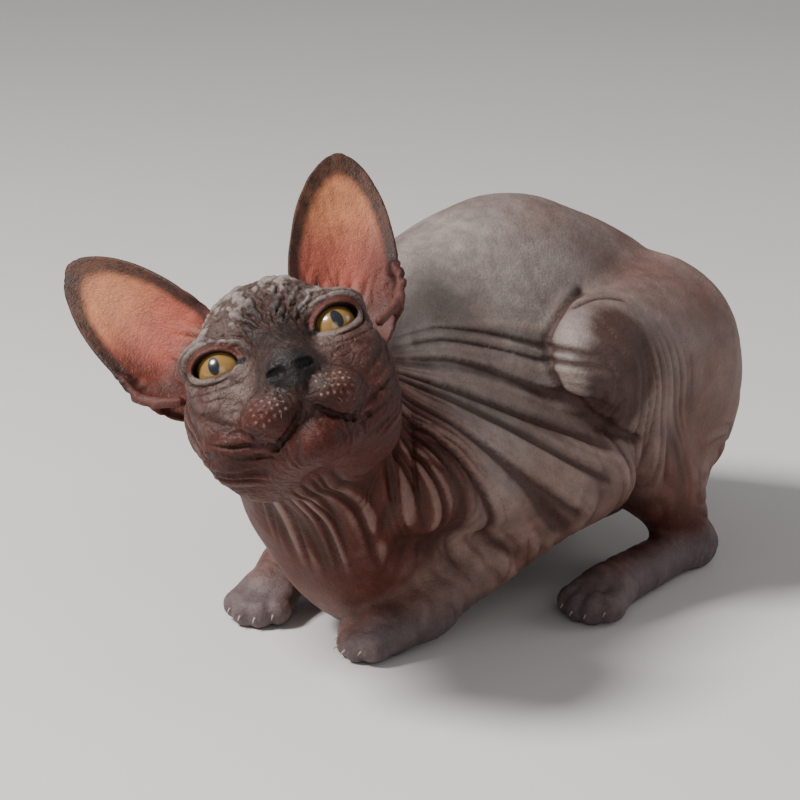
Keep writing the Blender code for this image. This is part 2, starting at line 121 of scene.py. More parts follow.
def bone(start, end, start_radius, end_radius):
    """The distance to a tapered, round-ended bar."""
    start = np.array(start, float)
    along = np.array(end, float) - start
    length = along @ along

    def distance(points):
        offset = points - start
        share = np.clip(offset @ along / length, 0, 1)
        reach = np.sqrt(((offset - share[:, None] * along) ** 2).sum(1))
        return reach - (start_radius + (end_radius - start_radius) * share)

    return distance


def blend(*forms):
    """One form out of several: pairs of a form and how softly it joins those before it."""

    def distance(points):
        total = forms[0][0](points)
        for form, softness in forms[1:]:
            total = soft_min(total, form(points), softness)
        return total

    return distance


def trail(points, radii, softness):
    """A row of bones through the points, one radius at each."""
    spans = zip(points, points[1:], radii, radii[1:])
    return blend(*[(bone(a, b, r, s), softness) for a, b, r, s in spans])


def near(form, centre, radius):
    """The form, worked out only in a ball round its centre. Further off, the distance to that ball."""
    centre = np.array(centre, float)

    def distance(points):
        far = np.sqrt(((points - centre) ** 2).sum(1)) - radius
        close = far < FAR / 5
        total = far + FAR / 10
        if close.any():
            total[close] = form(points[close])
        return total

    return distance


def in_head(form):
    return lambda points: form(to_head(points))


# How far apart the toes lie, and how thick they are
TOE_PITCH = 0.0068
TOE_RADIUS = 0.0063

TORSO = blend(
    (ball((0.04, 0, 0.093), (0.08, 0.055, 0.078)), 0),
    (ball((-0.022, 0, 0.086), (0.075, 0.047, 0.067)), 0.03),
    (ball((0.1, 0, 0.078), (0.062, 0.048, 0.066)), 0.03),
    (ball((-0.06, 0, 0.072), (0.036, 0.036, 0.046)), 0.03),
    (ball((-0.03, 0, 0.036), (0.05, 0.031, 0.037)), 0.02),
)

NECK = blend(
    (bone((-0.055, -0.002, 0.1), (-0.105, -0.012, 0.12), 0.036, 0.028), 0),
    (bone((-0.07, 0, 0.075), from_head((0, -0.026, -0.032)), 0.03, 0.02), 0.03),
)


def toe_lines(heel, tip, side):
    """Start and end of each of the four toes, in a shallow arc across the front of a paw."""
    heel = np.array(heel)
    tip = np.array(tip)
    ahead = (tip - heel) / np.linalg.norm(tip - heel)
    across = np.cross(ahead, (0, 0, 1.0)) * side * TOE_PITCH
    lines = []
    for place, reach in ((-1.4, -0.004), (-0.48, 0.0), (0.48, 0.0), (1.4, -0.0045)):
        lines.append((heel + across * place * 0.8, tip + across * place + ahead * reach))
    return lines


def toes(heel, tip, side):
    lines = toe_lines(heel, tip, side)
    return blend(*[(bone(start, end, TOE_RADIUS * 0.95, TOE_RADIUS), 0.001) for start, end in lines])


# Where the joints of each leg lie: the near side is the cat's left
FORE_LEFT = {
    "shoulder": (-0.06, -0.036, 0.082),
    "elbow": (0.03, -0.056, 0.062),
    "wrist": (-0.05, -0.034, 0.016),
    "knuckles": (-0.066, -0.027, 0.0102),
    "toes": (-0.08, -0.021, 0.006),
}
FORE_RIGHT = {
    "shoulder": (-0.06, 0.036, 0.08),
    "elbow": (0.03, 0.056, 0.058),
    "wrist": (-0.046, 0.046, 0.016),
    "knuckles": (-0.062, 0.042, 0.0102),
    "toes": (-0.078, 0.037, 0.006),
}
HIND_LEFT = {
    "hip": (0.1, -0.034, 0.098),
    "knee": (0.03, -0.06, 0.112),
    "hock": (0.108, -0.058, 0.0098),
    "knuckles": (0.034, -0.066, 0.0102),
    "toes": (0.016, -0.068, 0.006),
}
HIND_RIGHT = {
    "hip": (0.1, 0.034, 0.098),
    "knee": (0.032, 0.056, 0.108),
    "hock": (0.11, 0.058, 0.0098),
    "knuckles": (0.038, 0.064, 0.0102),
    "toes": (0.02, 0.065, 0.006),
}


def fore_leg(place, side):
    paw = bone(place["wrist"], place["knuckles"], 0.011, 0.0112)
    return blend(
        (bone(place["shoulder"], place["elbow"], 0.03, 0.019), 0),
        (bone(place["elbow"], place["wrist"], 0.018, 0.0105), 0.012),
        (paw, 0.008),
        (toes(place["knuckles"], place["toes"], side), 0.004),
    )


def hind_leg(place, side):
    back = np.array(place["hip"]) + (0.004, side * 0.006, -0.028)
    return blend(
        (bone(place["hip"], place["knee"], 0.042, 0.024), 0),
        (bone(place["knee"], place["hock"], 0.022, 0.0105), 0.01),
        (ball(back, (0.044, 0.03, 0.044)), 0.02),
        (bone(place["hock"], place["knuckles"], 0.0095, 0.011), 0.008),
        (toes(place["knuckles"], place["toes"], side), 0.004),
    )


def smooth_path(knots, count):
    """Points evenly along a smooth curve through the knots. A knot may have any number of values."""
    knots = np.array(knots, float)
    ends = np.vstack((2 * knots[0] - knots[1], knots, 2 * knots[-1] - knots[-2]))
    places = []
    for step in np.linspace(0, len(knots) - 1, count):
        first = min(int(step), len(knots) - 2)
        t = step - first
        a, b, c, d = ends[first : first + 4]
        bend = 2 * a - 5 * b + 4 * c - d + t * (3 * b - a - 3 * c + d)
        places.append(b + t / 2 * (c - a + t * bend))
    return np.array(places)


# The tail's course round the right side: x, y, z and radius
TAIL_KNOTS = [
    (0.14, 0.002, 0.1, 0.0125),
    (0.168, 0.014, 0.06, 0.0105),
    (0.17, 0.044, 0.012, 0.0092),
    (0.142, 0.077, 0.0072, 0.008),
    (0.092, 0.093, 0.0062, 0.007),
    (0.04, 0.094, 0.0052, 0.006),
    (-0.01, 0.084, 0.0036, 0.0044),
]
TAIL_COURSE = smooth_path(TAIL_KNOTS, 31)
TAIL = trail(TAIL_COURSE[:, :3], TAIL_COURSE[:, 3], 0.001)


# How much further out each cheek hangs: the turned head draws the loose skin to the cat's right
LOOSE_SKIN = {1: -0.0025, -1: 0.001}


def head_form():
    """The head without its eyes and ears, in its own frame: left, forward, up."""
    forms = [
        (ball((0, -0.036, 0.006), (0.031, 0.038, 0.03)), 0),
        (ball((0, -0.013, 0.009), (0.026, 0.016, 0.019)), 0.01),
        (bone((0, -0.004, 0), (0, 0.0185, -0.015), 0.0125, 0.0085), 0.01),
        (ball((0, 0.002, -0.026), (0.023, 0.018, 0.017)), 0.01),
        (ball((0, -0.02, -0.028), (0.027, 0.028, 0.021)), 0.012),
    ]
    for side in (1, -1):
        slack = LOOSE_SKIN[side]
        forms += [
            (ball((side * 0.024, -0.0085, 0.007), (0.014, 0.0105, 0.0085)), 0.006),
            (ball((side * 0.02, -0.006, -0.014), (0.013, 0.012, 0.011)), 0.008),
            (ball((side * (0.0285 + slack / 2), -0.015, -0.013), (0.012, 0.019, 0.015)), 0.01),
            (ball((side * (0.027 + slack), -0.013, -0.031), (0.013, 0.019, 0.013)), 0.01),
            (ball((side * (0.03 + slack), -0.032, -0.014), (0.0115, 0.018, 0.014)), 0.01),
            (bone((side * 0.006, 0.008, -0.044), (side * 0.022, -0.026, -0.038), 0.0085, 0.011), 0.008),
            (ball((side * 0.0108, 0.0135, -0.031), (0.013, 0.0128, 0.0092)), 0.006),
        ]
    forms += [
        (ball((0, 0.022, -0.0183), (0.0094, 0.007, 0.0056)), 0.003),
        (ball((0, 0.0235, -0.0235), (0.004, 0.0048, 0.006)), 0.002),
        (ball((0, 0.0125, -0.0455), (0.0105, 0.009, 0.008)), 0.003),
    ]
    return blend(*forms)


def mouth(side):
    """The line of the mouth on one side, from below the nose to the corner of the lips."""
    line = [
        (0, 0.0275, -0.0275),
        (0, 0.024, -0.034),
        (side * 0.0035, 0.0225, -0.0365),
        (side * 0.0095, 0.018, -0.04),
        (side * 0.0155, 0.0115, -0.0412),
        (side * 0.0225, 0.004, -0.04),
    ]
    return trail(line, [0.0008, 0.0012, 0.0014, 0.0014, 0.0014, 0.0009], 0.001)


def nostril(side):
    start = (side * 0.0045, 0.0285, -0.02)
    end = (side * 0.0088, 0.0245, -0.0188)
    return bone(start, end, 0.0024, 0.0014)


def eye_frame(side):
    """Where an eye lies in the head's frame, and its own axes: left, forward and up."""
    out = math.radians(-side * EYE_OUTWARD)
    up = math.radians(EYE_UPWARD)
    slant = math.radians(-side * EYE_SLANT)
    turn = Euler((up, slant, 0)).to_matrix()
    turn.rotate(Euler((0, 0, out)))
    return np.array((side * EYE_SPACING / 2, -EYE_DEPTH, 0)), np.array(turn)


def lids(side):
    """The rounded lids over an eye, before they are opened."""
    centre = eye_frame(side)[0]
    reach = EYE_RADIUS + LID_THICK
    return ball(centre, (reach, reach, reach * 0.97))


def opening(side):
    """The almond between the lids, as a hollow that runs forward from inside the eye."""
    centre, axes = eye_frame(side)

    def distance(points):
        a, b, c = ((points - centre) @ axes).T
        tall = np.where(c > 0, OPENING_UP, OPENING_DOWN)
        wide = np.abs(a) / OPENING_HALF
        high = np.abs(c) / tall
        reach = wide**2.0 + high**1.7 - 1
        slope = np.hypot(2.0 * wide / OPENING_HALF, 1.7 * high**0.7 / tall) + 40
        return np.maximum(reach / slope, 0.002 - b)

    return distance


# An ear: how tall and wide, how its edges curl forward, and how it stands on the head
EAR_TALL = 0.072
EAR_HALF = 0.0225
EAR_THICK = 0.0024
EAR_ROOT = (0.0315, -0.033, 0.013)
EAR_UP = {1: (0.34, -0.06, 0.93), -1: (-0.44, -0.06, 0.9)}
EAR_OUT = (0.9, -0.15, -0.36)


def ear_axes(side):
    """The ear's outward, forward and upward directions in the head's frame."""
    up = Vector(EAR_UP[side]).normalized()
    out = Vector((side * EAR_OUT[0], EAR_OUT[1], EAR_OUT[2]))
    out = (out - up * out.dot(up)).normalized()
    front = up.cross(out) * side
    return np.array((out, front, up)).T


def ear_root(side):
    return np.array((side * EAR_ROOT[0], EAR_ROOT[1], EAR_ROOT[2]))


def ear(side):
    """The cup of an ear: a bent sheet inside a tapering outline."""
    axes = ear_axes(side)
    root = ear_root(side)

    def distance(points):
        a, b, c = ((points - root) @ axes).T
        t = np.clip(c / EAR_TALL, 0, None)
        curl = 18.0 - 8.0 * np.clip(t, 0, 1)
        steep = np.sqrt(1 + (2 * curl * a) ** 2)
        sheet = np.abs(b - curl * a * a + 0.008) / steep - EAR_THICK / 2
        part = np.abs(a) / (EAR_HALF * (1 + np.clip(c, -0.03, 0) / 0.05))
        reach = part**1.7 + t**2.6 - 1
        slope = np.hypot(1.7 * part**0.7 / EAR_HALF, 2.6 * t**1.6 / EAR_TALL) + 8
        rim = np.maximum(reach / slope, -0.018 - c)
        return soft_max(sheet, rim, 0.0012)

    return distance


def ear_hollow(side):
    """The deep of the ear's cup, pressed into the head in front of the bent sheet."""
    axes = ear_axes(side)
    high = ear_root(side) + axes @ (0.002, 0.01, 0.026)
    low = ear_root(side) + axes @ (0.004, 0, 0)
    return bone(high, low, 0.015, 0.006)


def ear_notch(side):
    """The small double fold low on the ear's outer edge."""
    axes = ear_axes(side)
    places = [
        (0.0205, 0.0005, 0.02),
        (0.0222, 0.0015, 0.011),
        (0.0195, 0.003, 0.002),
        (0.013, 0.006, -0.006),
    ]
    line = [ear_root(side) + axes @ place for place in places]
    return trail(line, [0.0011, 0.0017, 0.0019, 0.0019], 0.002)


HEAD = head_form()


def face(points):
    """The head with its lids, lips and nostrils, in its own frame."""
    total = HEAD(points)
    for side in (1, -1):
        total = soft_min(total, lids(side)(points), 0.004)
    for side in (1, -1):
        total = soft_max(total, -opening(side)(points), 0.0012)
        total = soft_max(total, -mouth(side)(points), 0.001)
        total = soft_max(total, -nostril(side)(points), 0.001)
        total = soft_max(total, -ear_hollow(side)(points), 0.005)
    for side in (1, -1):
        total = soft_min(total, ear(side)(points), 0.003)
        total = soft_min(total, ear_notch(side)(points), 0.004)
    return total


LEGS = {
    "fore_left": near(fore_leg(FORE_LEFT, -1), (-0.02, -0.04, 0.05), 0.1),
    "fore_right": near(fore_leg(FORE_RIGHT, 1), (-0.02, 0.04, 0.05), 0.1),
    "hind_left": near(hind_leg(HIND_LEFT, -1), (0.08, -0.055, 0.065), 0.12),
    "hind_right": near(hind_leg(HIND_RIGHT, 1), (0.08, 0.055, 0.065), 0.12),
}


def flesh(points):
    """The distance to the cat's skin, without its eyes."""
    total = TORSO(points)
    total = soft_min(total, near(NECK, (-0.1, -0.01, 0.1), 0.09)(points), 0.02)
    for leg in LEGS.values():
        total = soft_min(total, leg(points), 0.007)
    total = soft_min(total, near(TAIL, (0.08, 0.06, 0.04), 0.15)(points), 0.006)
    total = soft_min(total, near(in_head(face), EYES_MIDDLE, 0.12)(points), 0.012)
    return np.maximum(total, -0.008 - points[:, 2])


# Half a block's diagonal as a share of its side, how far the field may be off, and blocks at a time
HALF_DIAGONAL = 0.87
FIELD_SLACK = 1.6
BATCH = 20000


def sample(field, low, high, voxel, coarse=5):
    """The field on a grid. Blocks far from the surface are worked out at their middle only."""
    low = np.array(low, float)
    blocks = np.ceil((np.array(high) - low) / (voxel * coarse)).astype(int)
    step = voxel * coarse
    ijk = np.indices(blocks).reshape(3, -1).T
    middles = low + (ijk + 0.5) * step - voxel / 2
    rough = field(middles)
    reach = step * HALF_DIAGONAL + 3 * voxel
    grid = np.repeat(np.repeat(np.repeat(rough.reshape(blocks), coarse, 0), coarse, 1), coarse, 2)
    grid = grid.astype(np.float32)
    close = ijk[np.abs(rough) < reach * FIELD_SLACK]
    inner = np.indices((coarse,) * 3).reshape(3, -1).T
    for start in range(0, len(close), BATCH):
        cells = (close[start : start + BATCH, None] * coarse + inner).reshape(-1, 3)
        grid[tuple(cells.T)] = field(low + cells * voxel)
    return grid


def settle(field, points, step, rounds=2):
    """Points drawn onto the field's surface, each along the field's own slope."""
    for _ in range(rounds):
        value = field(points)
        slope = np.empty_like(points)
        for axis in range(3):
            nudge = np.zeros(3)
            nudge[axis] = step
            slope[:, axis] = (field(points + nudge) - value) / step
        size = np.maximum((slope**2).sum(1), 0.05)
        move = -slope * (value / size)[:, None]
        reach = np.sqrt((move**2).sum(1))
        move *= np.minimum(1, 2 * step / np.maximum(reach, 1e-9))[:, None]
        points = points + move
    return points


def quad_mesh(field, low, high, voxel):
    """The zero surface of the field: points and quads."""
    grid = openvdb.FloatGrid(FAR)
    values = np.clip(sample(field, low, high, voxel), -4 * voxel, 4 * voxel)
    grid.copyFromArray(values)
    points, _, quads = grid.convertToPolygons(isovalue=0.0, adaptivity=0.0)
    return np.asarray(points) * voxel + np.array(low), np.asarray(quads)


def split_quads(points, quads, chosen):
    """Each chosen quad becomes four. The quads beside them take the new edge points, so no gap opens."""
    edges = np.stack((quads, np.roll(quads, -1, 1)), 2)
    keys = np.sort(edges, 2)
    keys = keys[..., 0].astype(np.int64) * len(points) + keys[..., 1]
    wanted = np.unique(keys[chosen])
    ends = np.column_stack((wanted // len(points), wanted % len(points)))
    middles = points[ends].mean(1)
    place = np.searchsorted(wanted, keys).clip(0, len(wanted) - 1)
    has = wanted[place] == keys
    centres = points[quads[chosen]].mean(1)
    first_middle = len(points)
    first_centre = first_middle + len(middles)
    new_points = np.vstack((points, middles, centres))
    faces = []
    middle = first_middle + place
    inner = quads[chosen]
    mid = middle[chosen]
    hub = first_centre + np.arange(len(inner))
    for k in range(4):
        faces.append(np.column_stack((inner[:, k], mid[:, k], hub, mid[:, k - 1])))
    fine = np.vstack(faces)
    rest = ~chosen
    plain = rest & ~has.any(1)
    coarse = quads[plain]
    seam = []
    for face in np.flatnonzero(rest & has.any(1)):
        ring = []
        for k in range(4):
            ring.append(int(quads[face, k]))
            if has[face, k]:
                ring.append(int(middle[face, k]))
        seam.append(ring)
    return new_points, np.vstack((coarse, fine)), seam


def mesh_object(name, points, quads, seam=()):
    mesh = bpy.data.meshes.new(name)
    loops = np.concatenate((quads.ravel(), np.array([v for ring in seam for v in ring], int)))
    sizes = np.concatenate((np.full(len(quads), 4), np.array([len(ring) for ring in seam], int)))
    mesh.vertices.add(len(points))
    mesh.vertices.foreach_set("co", np.asarray(points, np.float32).ravel())
    mesh.loops.add(len(loops))
    mesh.loops.foreach_set("vertex_index", loops.astype(np.int32))
    mesh.polygons.add(len(sizes))
    mesh.polygons.foreach_set("loop_start", (np.cumsum(sizes) - sizes).astype(np.int32))
    mesh.update(calc_edges=True)
    mesh.validate()
    mesh.shade_smooth()
    made = bpy.data.objects.new(name, mesh)
    bpy.context.scene.collection.objects.link(made)
    return made


def normals(mesh):
    out = np.empty(len(mesh.vertices) * 3, np.float32)
    mesh.vertex_normals.foreach_get("vector", out)
    return out.reshape(-1, 3).astype(float)


def noise(points, seed=0):
    """Smooth noise between about -1 and 1 with a period near 1, from a seeded lattice of slopes."""
    cell = np.floor(points).astype(np.int64)
    inner = points - cell
    ease = inner * inner * inner * (inner * (inner * 6 - 15) + 10)
    total = np.zeros(len(points))
    for corner in range(8):
        step = np.array((corner & 1, corner >> 1 & 1, corner >> 2 & 1))
        at = cell + step
        key = at[:, 0] * 73856093 ^ at[:, 1] * 19349663 ^ at[:, 2] * 83492791 ^ seed * 2654435
        key = (key ^ (key >> 13)) * 1274126177 & 0x7FFFFFFF
        key ^= key >> 16
        slope = np.stack((key & 1023, key >> 10 & 1023, key >> 20 & 1023), 1) / 511.5 - 1
        weight = np.where(step, ease, 1 - ease).prod(1)
        total += weight * (slope * (inner - step)).sum(1)
    return total * 1.6


def ease_in(value):
    value = np.clip(value, 0, 1)
    return value * value * (3 - 2 * value)


def bell(value, width):
    """1 at zero, falling to either side over about the width."""
    return np.exp(-((value / width) ** 2))


def patch(points, centre, radii, soft=0.5):
    """1 inside an ellipsoid, easing to 0 at its size times 1 + soft."""
    reach = np.sqrt((((points - np.array(centre)) / radii) ** 2).sum(1))
    return ease_in((1 + soft - reach) / soft)


def unit(vector):
    return np.array(vector, float) / np.linalg.norm(vector)


def valleys(places, seed, sharp):
    """Folds along the lines where noise crosses zero: valleys near -1, and ridges up to about 0.5."""
    value = noise(places, seed)
    valley = bell(value, sharp)
    return np.minimum(np.abs(value), 0.5) * (1 - valley) - valley


def creases(points, along, across, pitch, length, seed, sharp=0.16):
    """Folds that run along one direction, pitch apart."""
    along = unit(along)
    across = np.array(across, float) - along * (along @ np.array(across, float))
    across = unit(across)
    third = np.cross(along, across)
    places = np.column_stack((points @ across / pitch, points @ along / length, points @ third / length))
    wander = noise(places * (0.6, 1.5, 1.5) + 31.7, seed + 7)
    places[:, 0] += 0.55 * wander
    return valleys(places, seed, sharp)


def fan_creases(points, apex, spread, length, seed, sharp=0.16):
    """Folds that spread from an apex in the side view and droop further out."""
    flat = points - np.array(apex)
    angle = np.degrees(np.arctan2(flat[:, 2], flat[:, 0]))
    reach = np.hypot(flat[:, 0], flat[:, 2])
    droop = FOLD_DROOP * np.maximum(reach - 0.055, 0) * ease_in((angle + 40) / 35)
    places = np.column_stack(((angle + droop) / spread, reach / length, points[:, 1] / length))
    wander = noise(places * (0.5, 2.0, 2.0) + 11.3, seed + 7)
    places[:, 0] += 0.4 * wander
    return valleys(places, seed, sharp)


def groove(points, line, width):
    """How near the points are to a line of bones: 1 on it, falling to 0 over about its width."""
    nearest = np.full(len(points), 9.0)
    for start, end in zip(line, line[1:]):
        nearest = np.minimum(nearest, bone(start, end, 0, 0)(points))
    return bell(nearest, width)


# Where the folds of the flank spread from, and how they droop, in degrees a metre
FLANK_APEX = (-0.097, 0, 0.134)
FOLD_DROOP = 150.0

# The rim of skin round the front of the left knee, and the crease over it
KNEE_RIM = [
    (0.0375, -0.0465, 0.1371),
    (0.0165, -0.0514, 0.1329),
    (0.0072, -0.0519, 0.1237),
    (0.0042, -0.0554, 0.1134),
    (0.0052, -0.0594, 0.1048),
    (0.0101, -0.0647, 0.0966),
    (0.0212, -0.067, 0.0876),
    (0.0311, -0.0703, 0.0811),
    (0.0419, -0.0735, 0.0762),
]
KNEE_CREASE = [(0.0208, -0.0559, 0.1358), (0.0326, -0.0601, 0.1372), (0.0432, -0.0643, 0.135)]
KNEE_MIDDLE = (0.03, -0.078, 0.11)


def knee_relief(points, side):
    """The crease before the knee, the rim of skin behind it, and the hollow that the rim frames."""
    mirror = np.array((1, -side, 1))
    rim = [np.array(place) for place in KNEE_RIM]
    inner = [place + 0.005 * unit(np.array(KNEE_MIDDLE) - place) for place in rim[1:-1]]
    local = points * mirror
    height = -0.0024 * groove(local, rim, 0.0022) + 0.0014 * groove(local, inner, 0.0024)
    height -= 0.0022 * groove(local, [np.array(place) for place in KNEE_CREASE], 0.0017)
    hollow = patch(local, (0.024, -0.079, 0.108), (0.011, 0.022, 0.019), 0.9)
    height -= 0.0022 * hollow
    return height + 0.0006 * hollow * creases(local, (0.35, 0, -1), (1, 0, 0.35), 0.0055, 0.06, 17, 0.25)


# Folds of the chest, thigh, belly, rump and arm on the cat's right: how deep, the middle, size and
# softness of their patch, the way they run, the way across them, their pitch, length and sharpness
SIDE_FOLDS = (
    (0.0006, (-0.068, 0.05, 0.07), (0.018, 0.022, 0.034), 0.6,
     (0.45, 0, -1), (1, -0.6, 0.3), 0.006, 0.14, 0.17),
    (0.0008, (0.048, 0.082, 0.084), (0.024, 0.022, 0.028), 0.7,
     (0.3, 0, -1), (1, 0, 0.3), 0.0052, 0.11, 0.17),
    (0.0006, (0.04, 0.055, 0.046), (0.045, 0.03, 0.024), 0.5, (0.4, 0, -1), (1, 0, 0.2), 0.009, 0.04, 0.16),
    (0.0006, (0.125, 0.04, 0.045), (0.04, 0.04, 0.03), 0.5, (1, 0, -0.3), (0, 0, 1), 0.008, 0.04, 0.16),
    (0.0004, (-0.03, 0.048, 0.032), (0.04, 0.03, 0.018), 0.5, (0.5, 0, -1), (1, 0, 0.5), 0.006, 0.02, 0.16),
)


def body_relief(points):
    """Folds of the trunk, neck, legs and tail, as heights in metres."""
    height = np.zeros(len(points))
    for side, seed in ((-1, 3), (1, 43)):
        mirror = np.array((1, side, 1))
        flank = patch(points, (-0.034, side * 0.056, 0.088), (0.046, 0.032, 0.04), 0.7)
        height += 0.0017 * flank * fan_creases(points, FLANK_APEX, 7.0, 0.2, seed, 0.17)
        height += 0.0005 * flank * fan_creases(points, FLANK_APEX, 3.0, 0.1, seed + 1, 0.2)
        for number, (depth, centre, size, soft, *lie) in enumerate(SIDE_FOLDS):
            along, across, pitch, length, sharp = lie
            where = patch(points, centre * mirror, size, soft)
            folds = creases(points, along, across * mirror, pitch, length, seed + 2 + number, sharp)
            height += depth * where * folds
        height += knee_relief(points, side)
    throat = patch(points, (-0.12, -0.036, 0.078), (0.04, 0.034, 0.044))
    height += 0.0014 * throat * creases(points, (0.55, 0.2, -0.8), (-0.5, 0.8, 0), 0.0052, 0.22, 21, 0.18)
    nape = patch(points, (-0.078, 0.006, 0.142), (0.026, 0.04, 0.03))
    height += 0.001 * nape * creases(points, (0, 1, 0), (1, 0, -0.4), 0.01, 0.05, 23, 0.2)
    behind = ease_in((points[:, 0] - 0.13) / 0.02 + points[:, 1] / 0.05)
    tail = ease_in((0.004 - TAIL(points)) / 0.004) * behind
    height += 0.0003 * tail * creases(points, (0, 0, 1), (0.6, 1, 0), 0.0045, 0.02, 25)
    feet = ease_in((0.024 - points[:, 2]) / 0.008)
    height += 0.00022 * feet * creases(points, (0, 1, 0.3), (1, 0, 0), 0.004, 0.012, 27)
    height += 0.0001 * noise(points / 0.004, 29)
    height += 0.0004 * noise(points / 0.022, 30)
    return height


# Folds of the face on the cat's right, in the head's frame. The left side has their mirror image.
PAD_EDGE = [
    (0.0141, 0.0166, -0.0185),
    (0.019, 0.013, -0.02),
    (0.0225, 0.0115, -0.023),
    (0.0242, 0.012, -0.029),
    (0.023, 0.0125, -0.0345),
    (0.0205, 0.01, -0.038),
]
CHEEK_FOLD = [
    (0.0393, -0.0052, -0.0085),
    (0.0356, 0.0018, -0.0183),
    (0.0307, 0.0055, -0.0236),
    (0.0254, 0.0092, -0.028),
]
NOSE_WING = [(0.0098, 0.0205, -0.013), (0.0118, 0.0205, -0.0175), (0.0108, 0.0215, -0.023)]
BROW_APEX = (0.001, -0.002)


def lid_ring(points, side):
    """How far out a point lies from the eye's opening: 0 at its middle, 1 at the crease round the lids.

    It comes with the place in the eye's axes: towards the ear, forward and up.
    """
    centre, axes = eye_frame(side)
    a, b, c = ((points - centre) @ axes).T
    ring = np.hypot(a / 0.0122, c / np.where(c > 0, 0.009, 0.0079))
    return ring, a * side, b, c


def brow_folds(points):
    """Folds that fan out over the forehead from between the eyes, broken up into small cushions."""
    l, f, u = points.T
    brow = patch(points, (0, -0.006, 0.022), (0.024, 0.022, 0.017), 0.5)
    across = l - BROW_APEX[0]
    above = u - BROW_APEX[1]
    angle = np.degrees(np.arctan2(across, above))
    places = np.column_stack((angle / 13.0, np.hypot(across, above) / 0.014, f / 0.02))
    places[:, 0] += 0.35 * noise(points / 0.0045, 50)
    height = 0.00085 * brow * valleys(places, 51, 0.24)
    height += 0.0005 * brow * valleys(points / 0.0042, 52, 0.2)
    crown = patch(points, (0, -0.034, 0.034), (0.028, 0.018, 0.012), 0.6)
    return height + 0.0004 * crown * creases(points, (0.3, 1, 0), (1, 0, 0), 0.006, 0.025, 54)


def face_relief(points):
    """Folds of the head, in its own frame, as heights in metres."""
    height = brow_folds(points)
    bridge = patch(points, (0, 0.01, -0.002), (0.012, 0.014, 0.012), 0.6)
    height += 0.00022 * bridge * creases(points, (0.2, 1, -0.5), (1, 0, 0), 0.004, 0.014, 53)
    smooth = np.zeros(len(points))
    for side in (1, -1):
        strong = 1.0 if side < 0 else 0.6
        ring, a, b, c = lid_ring(points, side)
        front = ease_in((b + 0.005) / 0.006)
        above = front * ease_in((c + 0.0005) / 0.003)
        below = (front - above) * ease_in((a + 0.0075) / 0.006)
        height -= 0.0011 * below * bell(ring - 1.0, 0.05)
        height += 0.0002 * (front - above) * bell(ring - 0.84, 0.09)
        height -= 0.0007 * above * bell(ring - 0.92, 0.1)
        height += 0.0002 * above * bell(ring - 1.13, 0.08)
        height -= 0.0005 * above * bell(ring - 1.32, 0.05)
        height -= 0.0004 * (front - above) * bell(ring - 1.45, 0.07)
        smooth = np.maximum(smooth, ease_in((1.08 - ring) / 0.1) * front)
        smooth = np.maximum(smooth, ease_in((0.004 - ear(side)(points)) / 0.002))
        mirror = np.array((side, 1, 1))
        local = points * mirror
        height -= 0.0015 * strong * groove(local, PAD_EDGE, 0.0011)
        height -= 0.0011 * strong * groove(local, CHEEK_FOLD, 0.0017)
        height -= 0.0008 * groove(local, NOSE_WING, 0.0008)
        cheek = patch(local, (0.03, -0.004, -0.016), (0.014, 0.02, 0.018))
        height += 0.00035 * cheek * creases(points, (0.2, -1, 0.5), (0, 0.5, 1), 0.006, 0.02, 55 + side)
        jowl = patch(local, (0.029, 0, -0.037), (0.013, 0.02, 0.008), 0.6)
        slope = (-0.8, 0.37, -0.49)
        height += 0.001 * strong * jowl * creases(local, slope, (0, -0.5, -1), 0.0042, 0.04, 58, 0.26)
        side_folds = patch(local, (0.04, -0.026, -0.02), (0.012, 0.016, 0.02), 0.6)
        height += 0.0008 * side_folds * creases(local, (0.1, 0.5, -1), (0, 1, 0.5), 0.0075, 0.06, 64, 0.22)
        lip = patch(local, (0.0125, 0.012, -0.045), (0.008, 0.008, 0.005), 0.6)
        height += 0.0005 * lip * creases(local, (0, 0.2, 1), (1, -0.5, 0), 0.0042, 0.02, 66, 0.24)
        height += whisker_bumps(points, side)
        height += ear_relief(points, side)
    rough = 1 - smooth
    height += 0.00016 * rough * valleys(points / 0.0036, 62, 0.22)
    height += 0.00009 * rough * noise(points / 0.0016, 63)
    return height


# The size of the raised spot that a whisker grows from
FOLLICLE = 0.00048


def whisker_places(side):
    """Where the whiskers grow on a pad, in the head's frame: rows that follow the lip."""
    places = []
    for row in range(4):
        for step in range(6):
            if row + step > 7:
                continue
            across = 0.007 + 0.0024 * step
            places.append((side * across, 0.0262 - 0.002 * step, -0.0245 - 0.0028 * row - 0.0006 * step))
    return places


def near_whiskers(points, side):
    """1 at the root of a whisker, falling to 0 within a millimetre."""
    total = np.zeros(len(points))
    for place in whisker_places(side):
        offset = points - np.array(place)
        total = np.maximum(total, np.exp(-((offset[:, (0, 2)] ** 2).sum(1)) / FOLLICLE**2))
    return total * (points[:, 1] > 0.004)


def whisker_bumps(points, side):
    return 0.00035 * near_whiskers(points, side)


def ear_places(points, side):
    axes = ear_axes(side)
    return ((points - ear_root(side)) @ axes).T


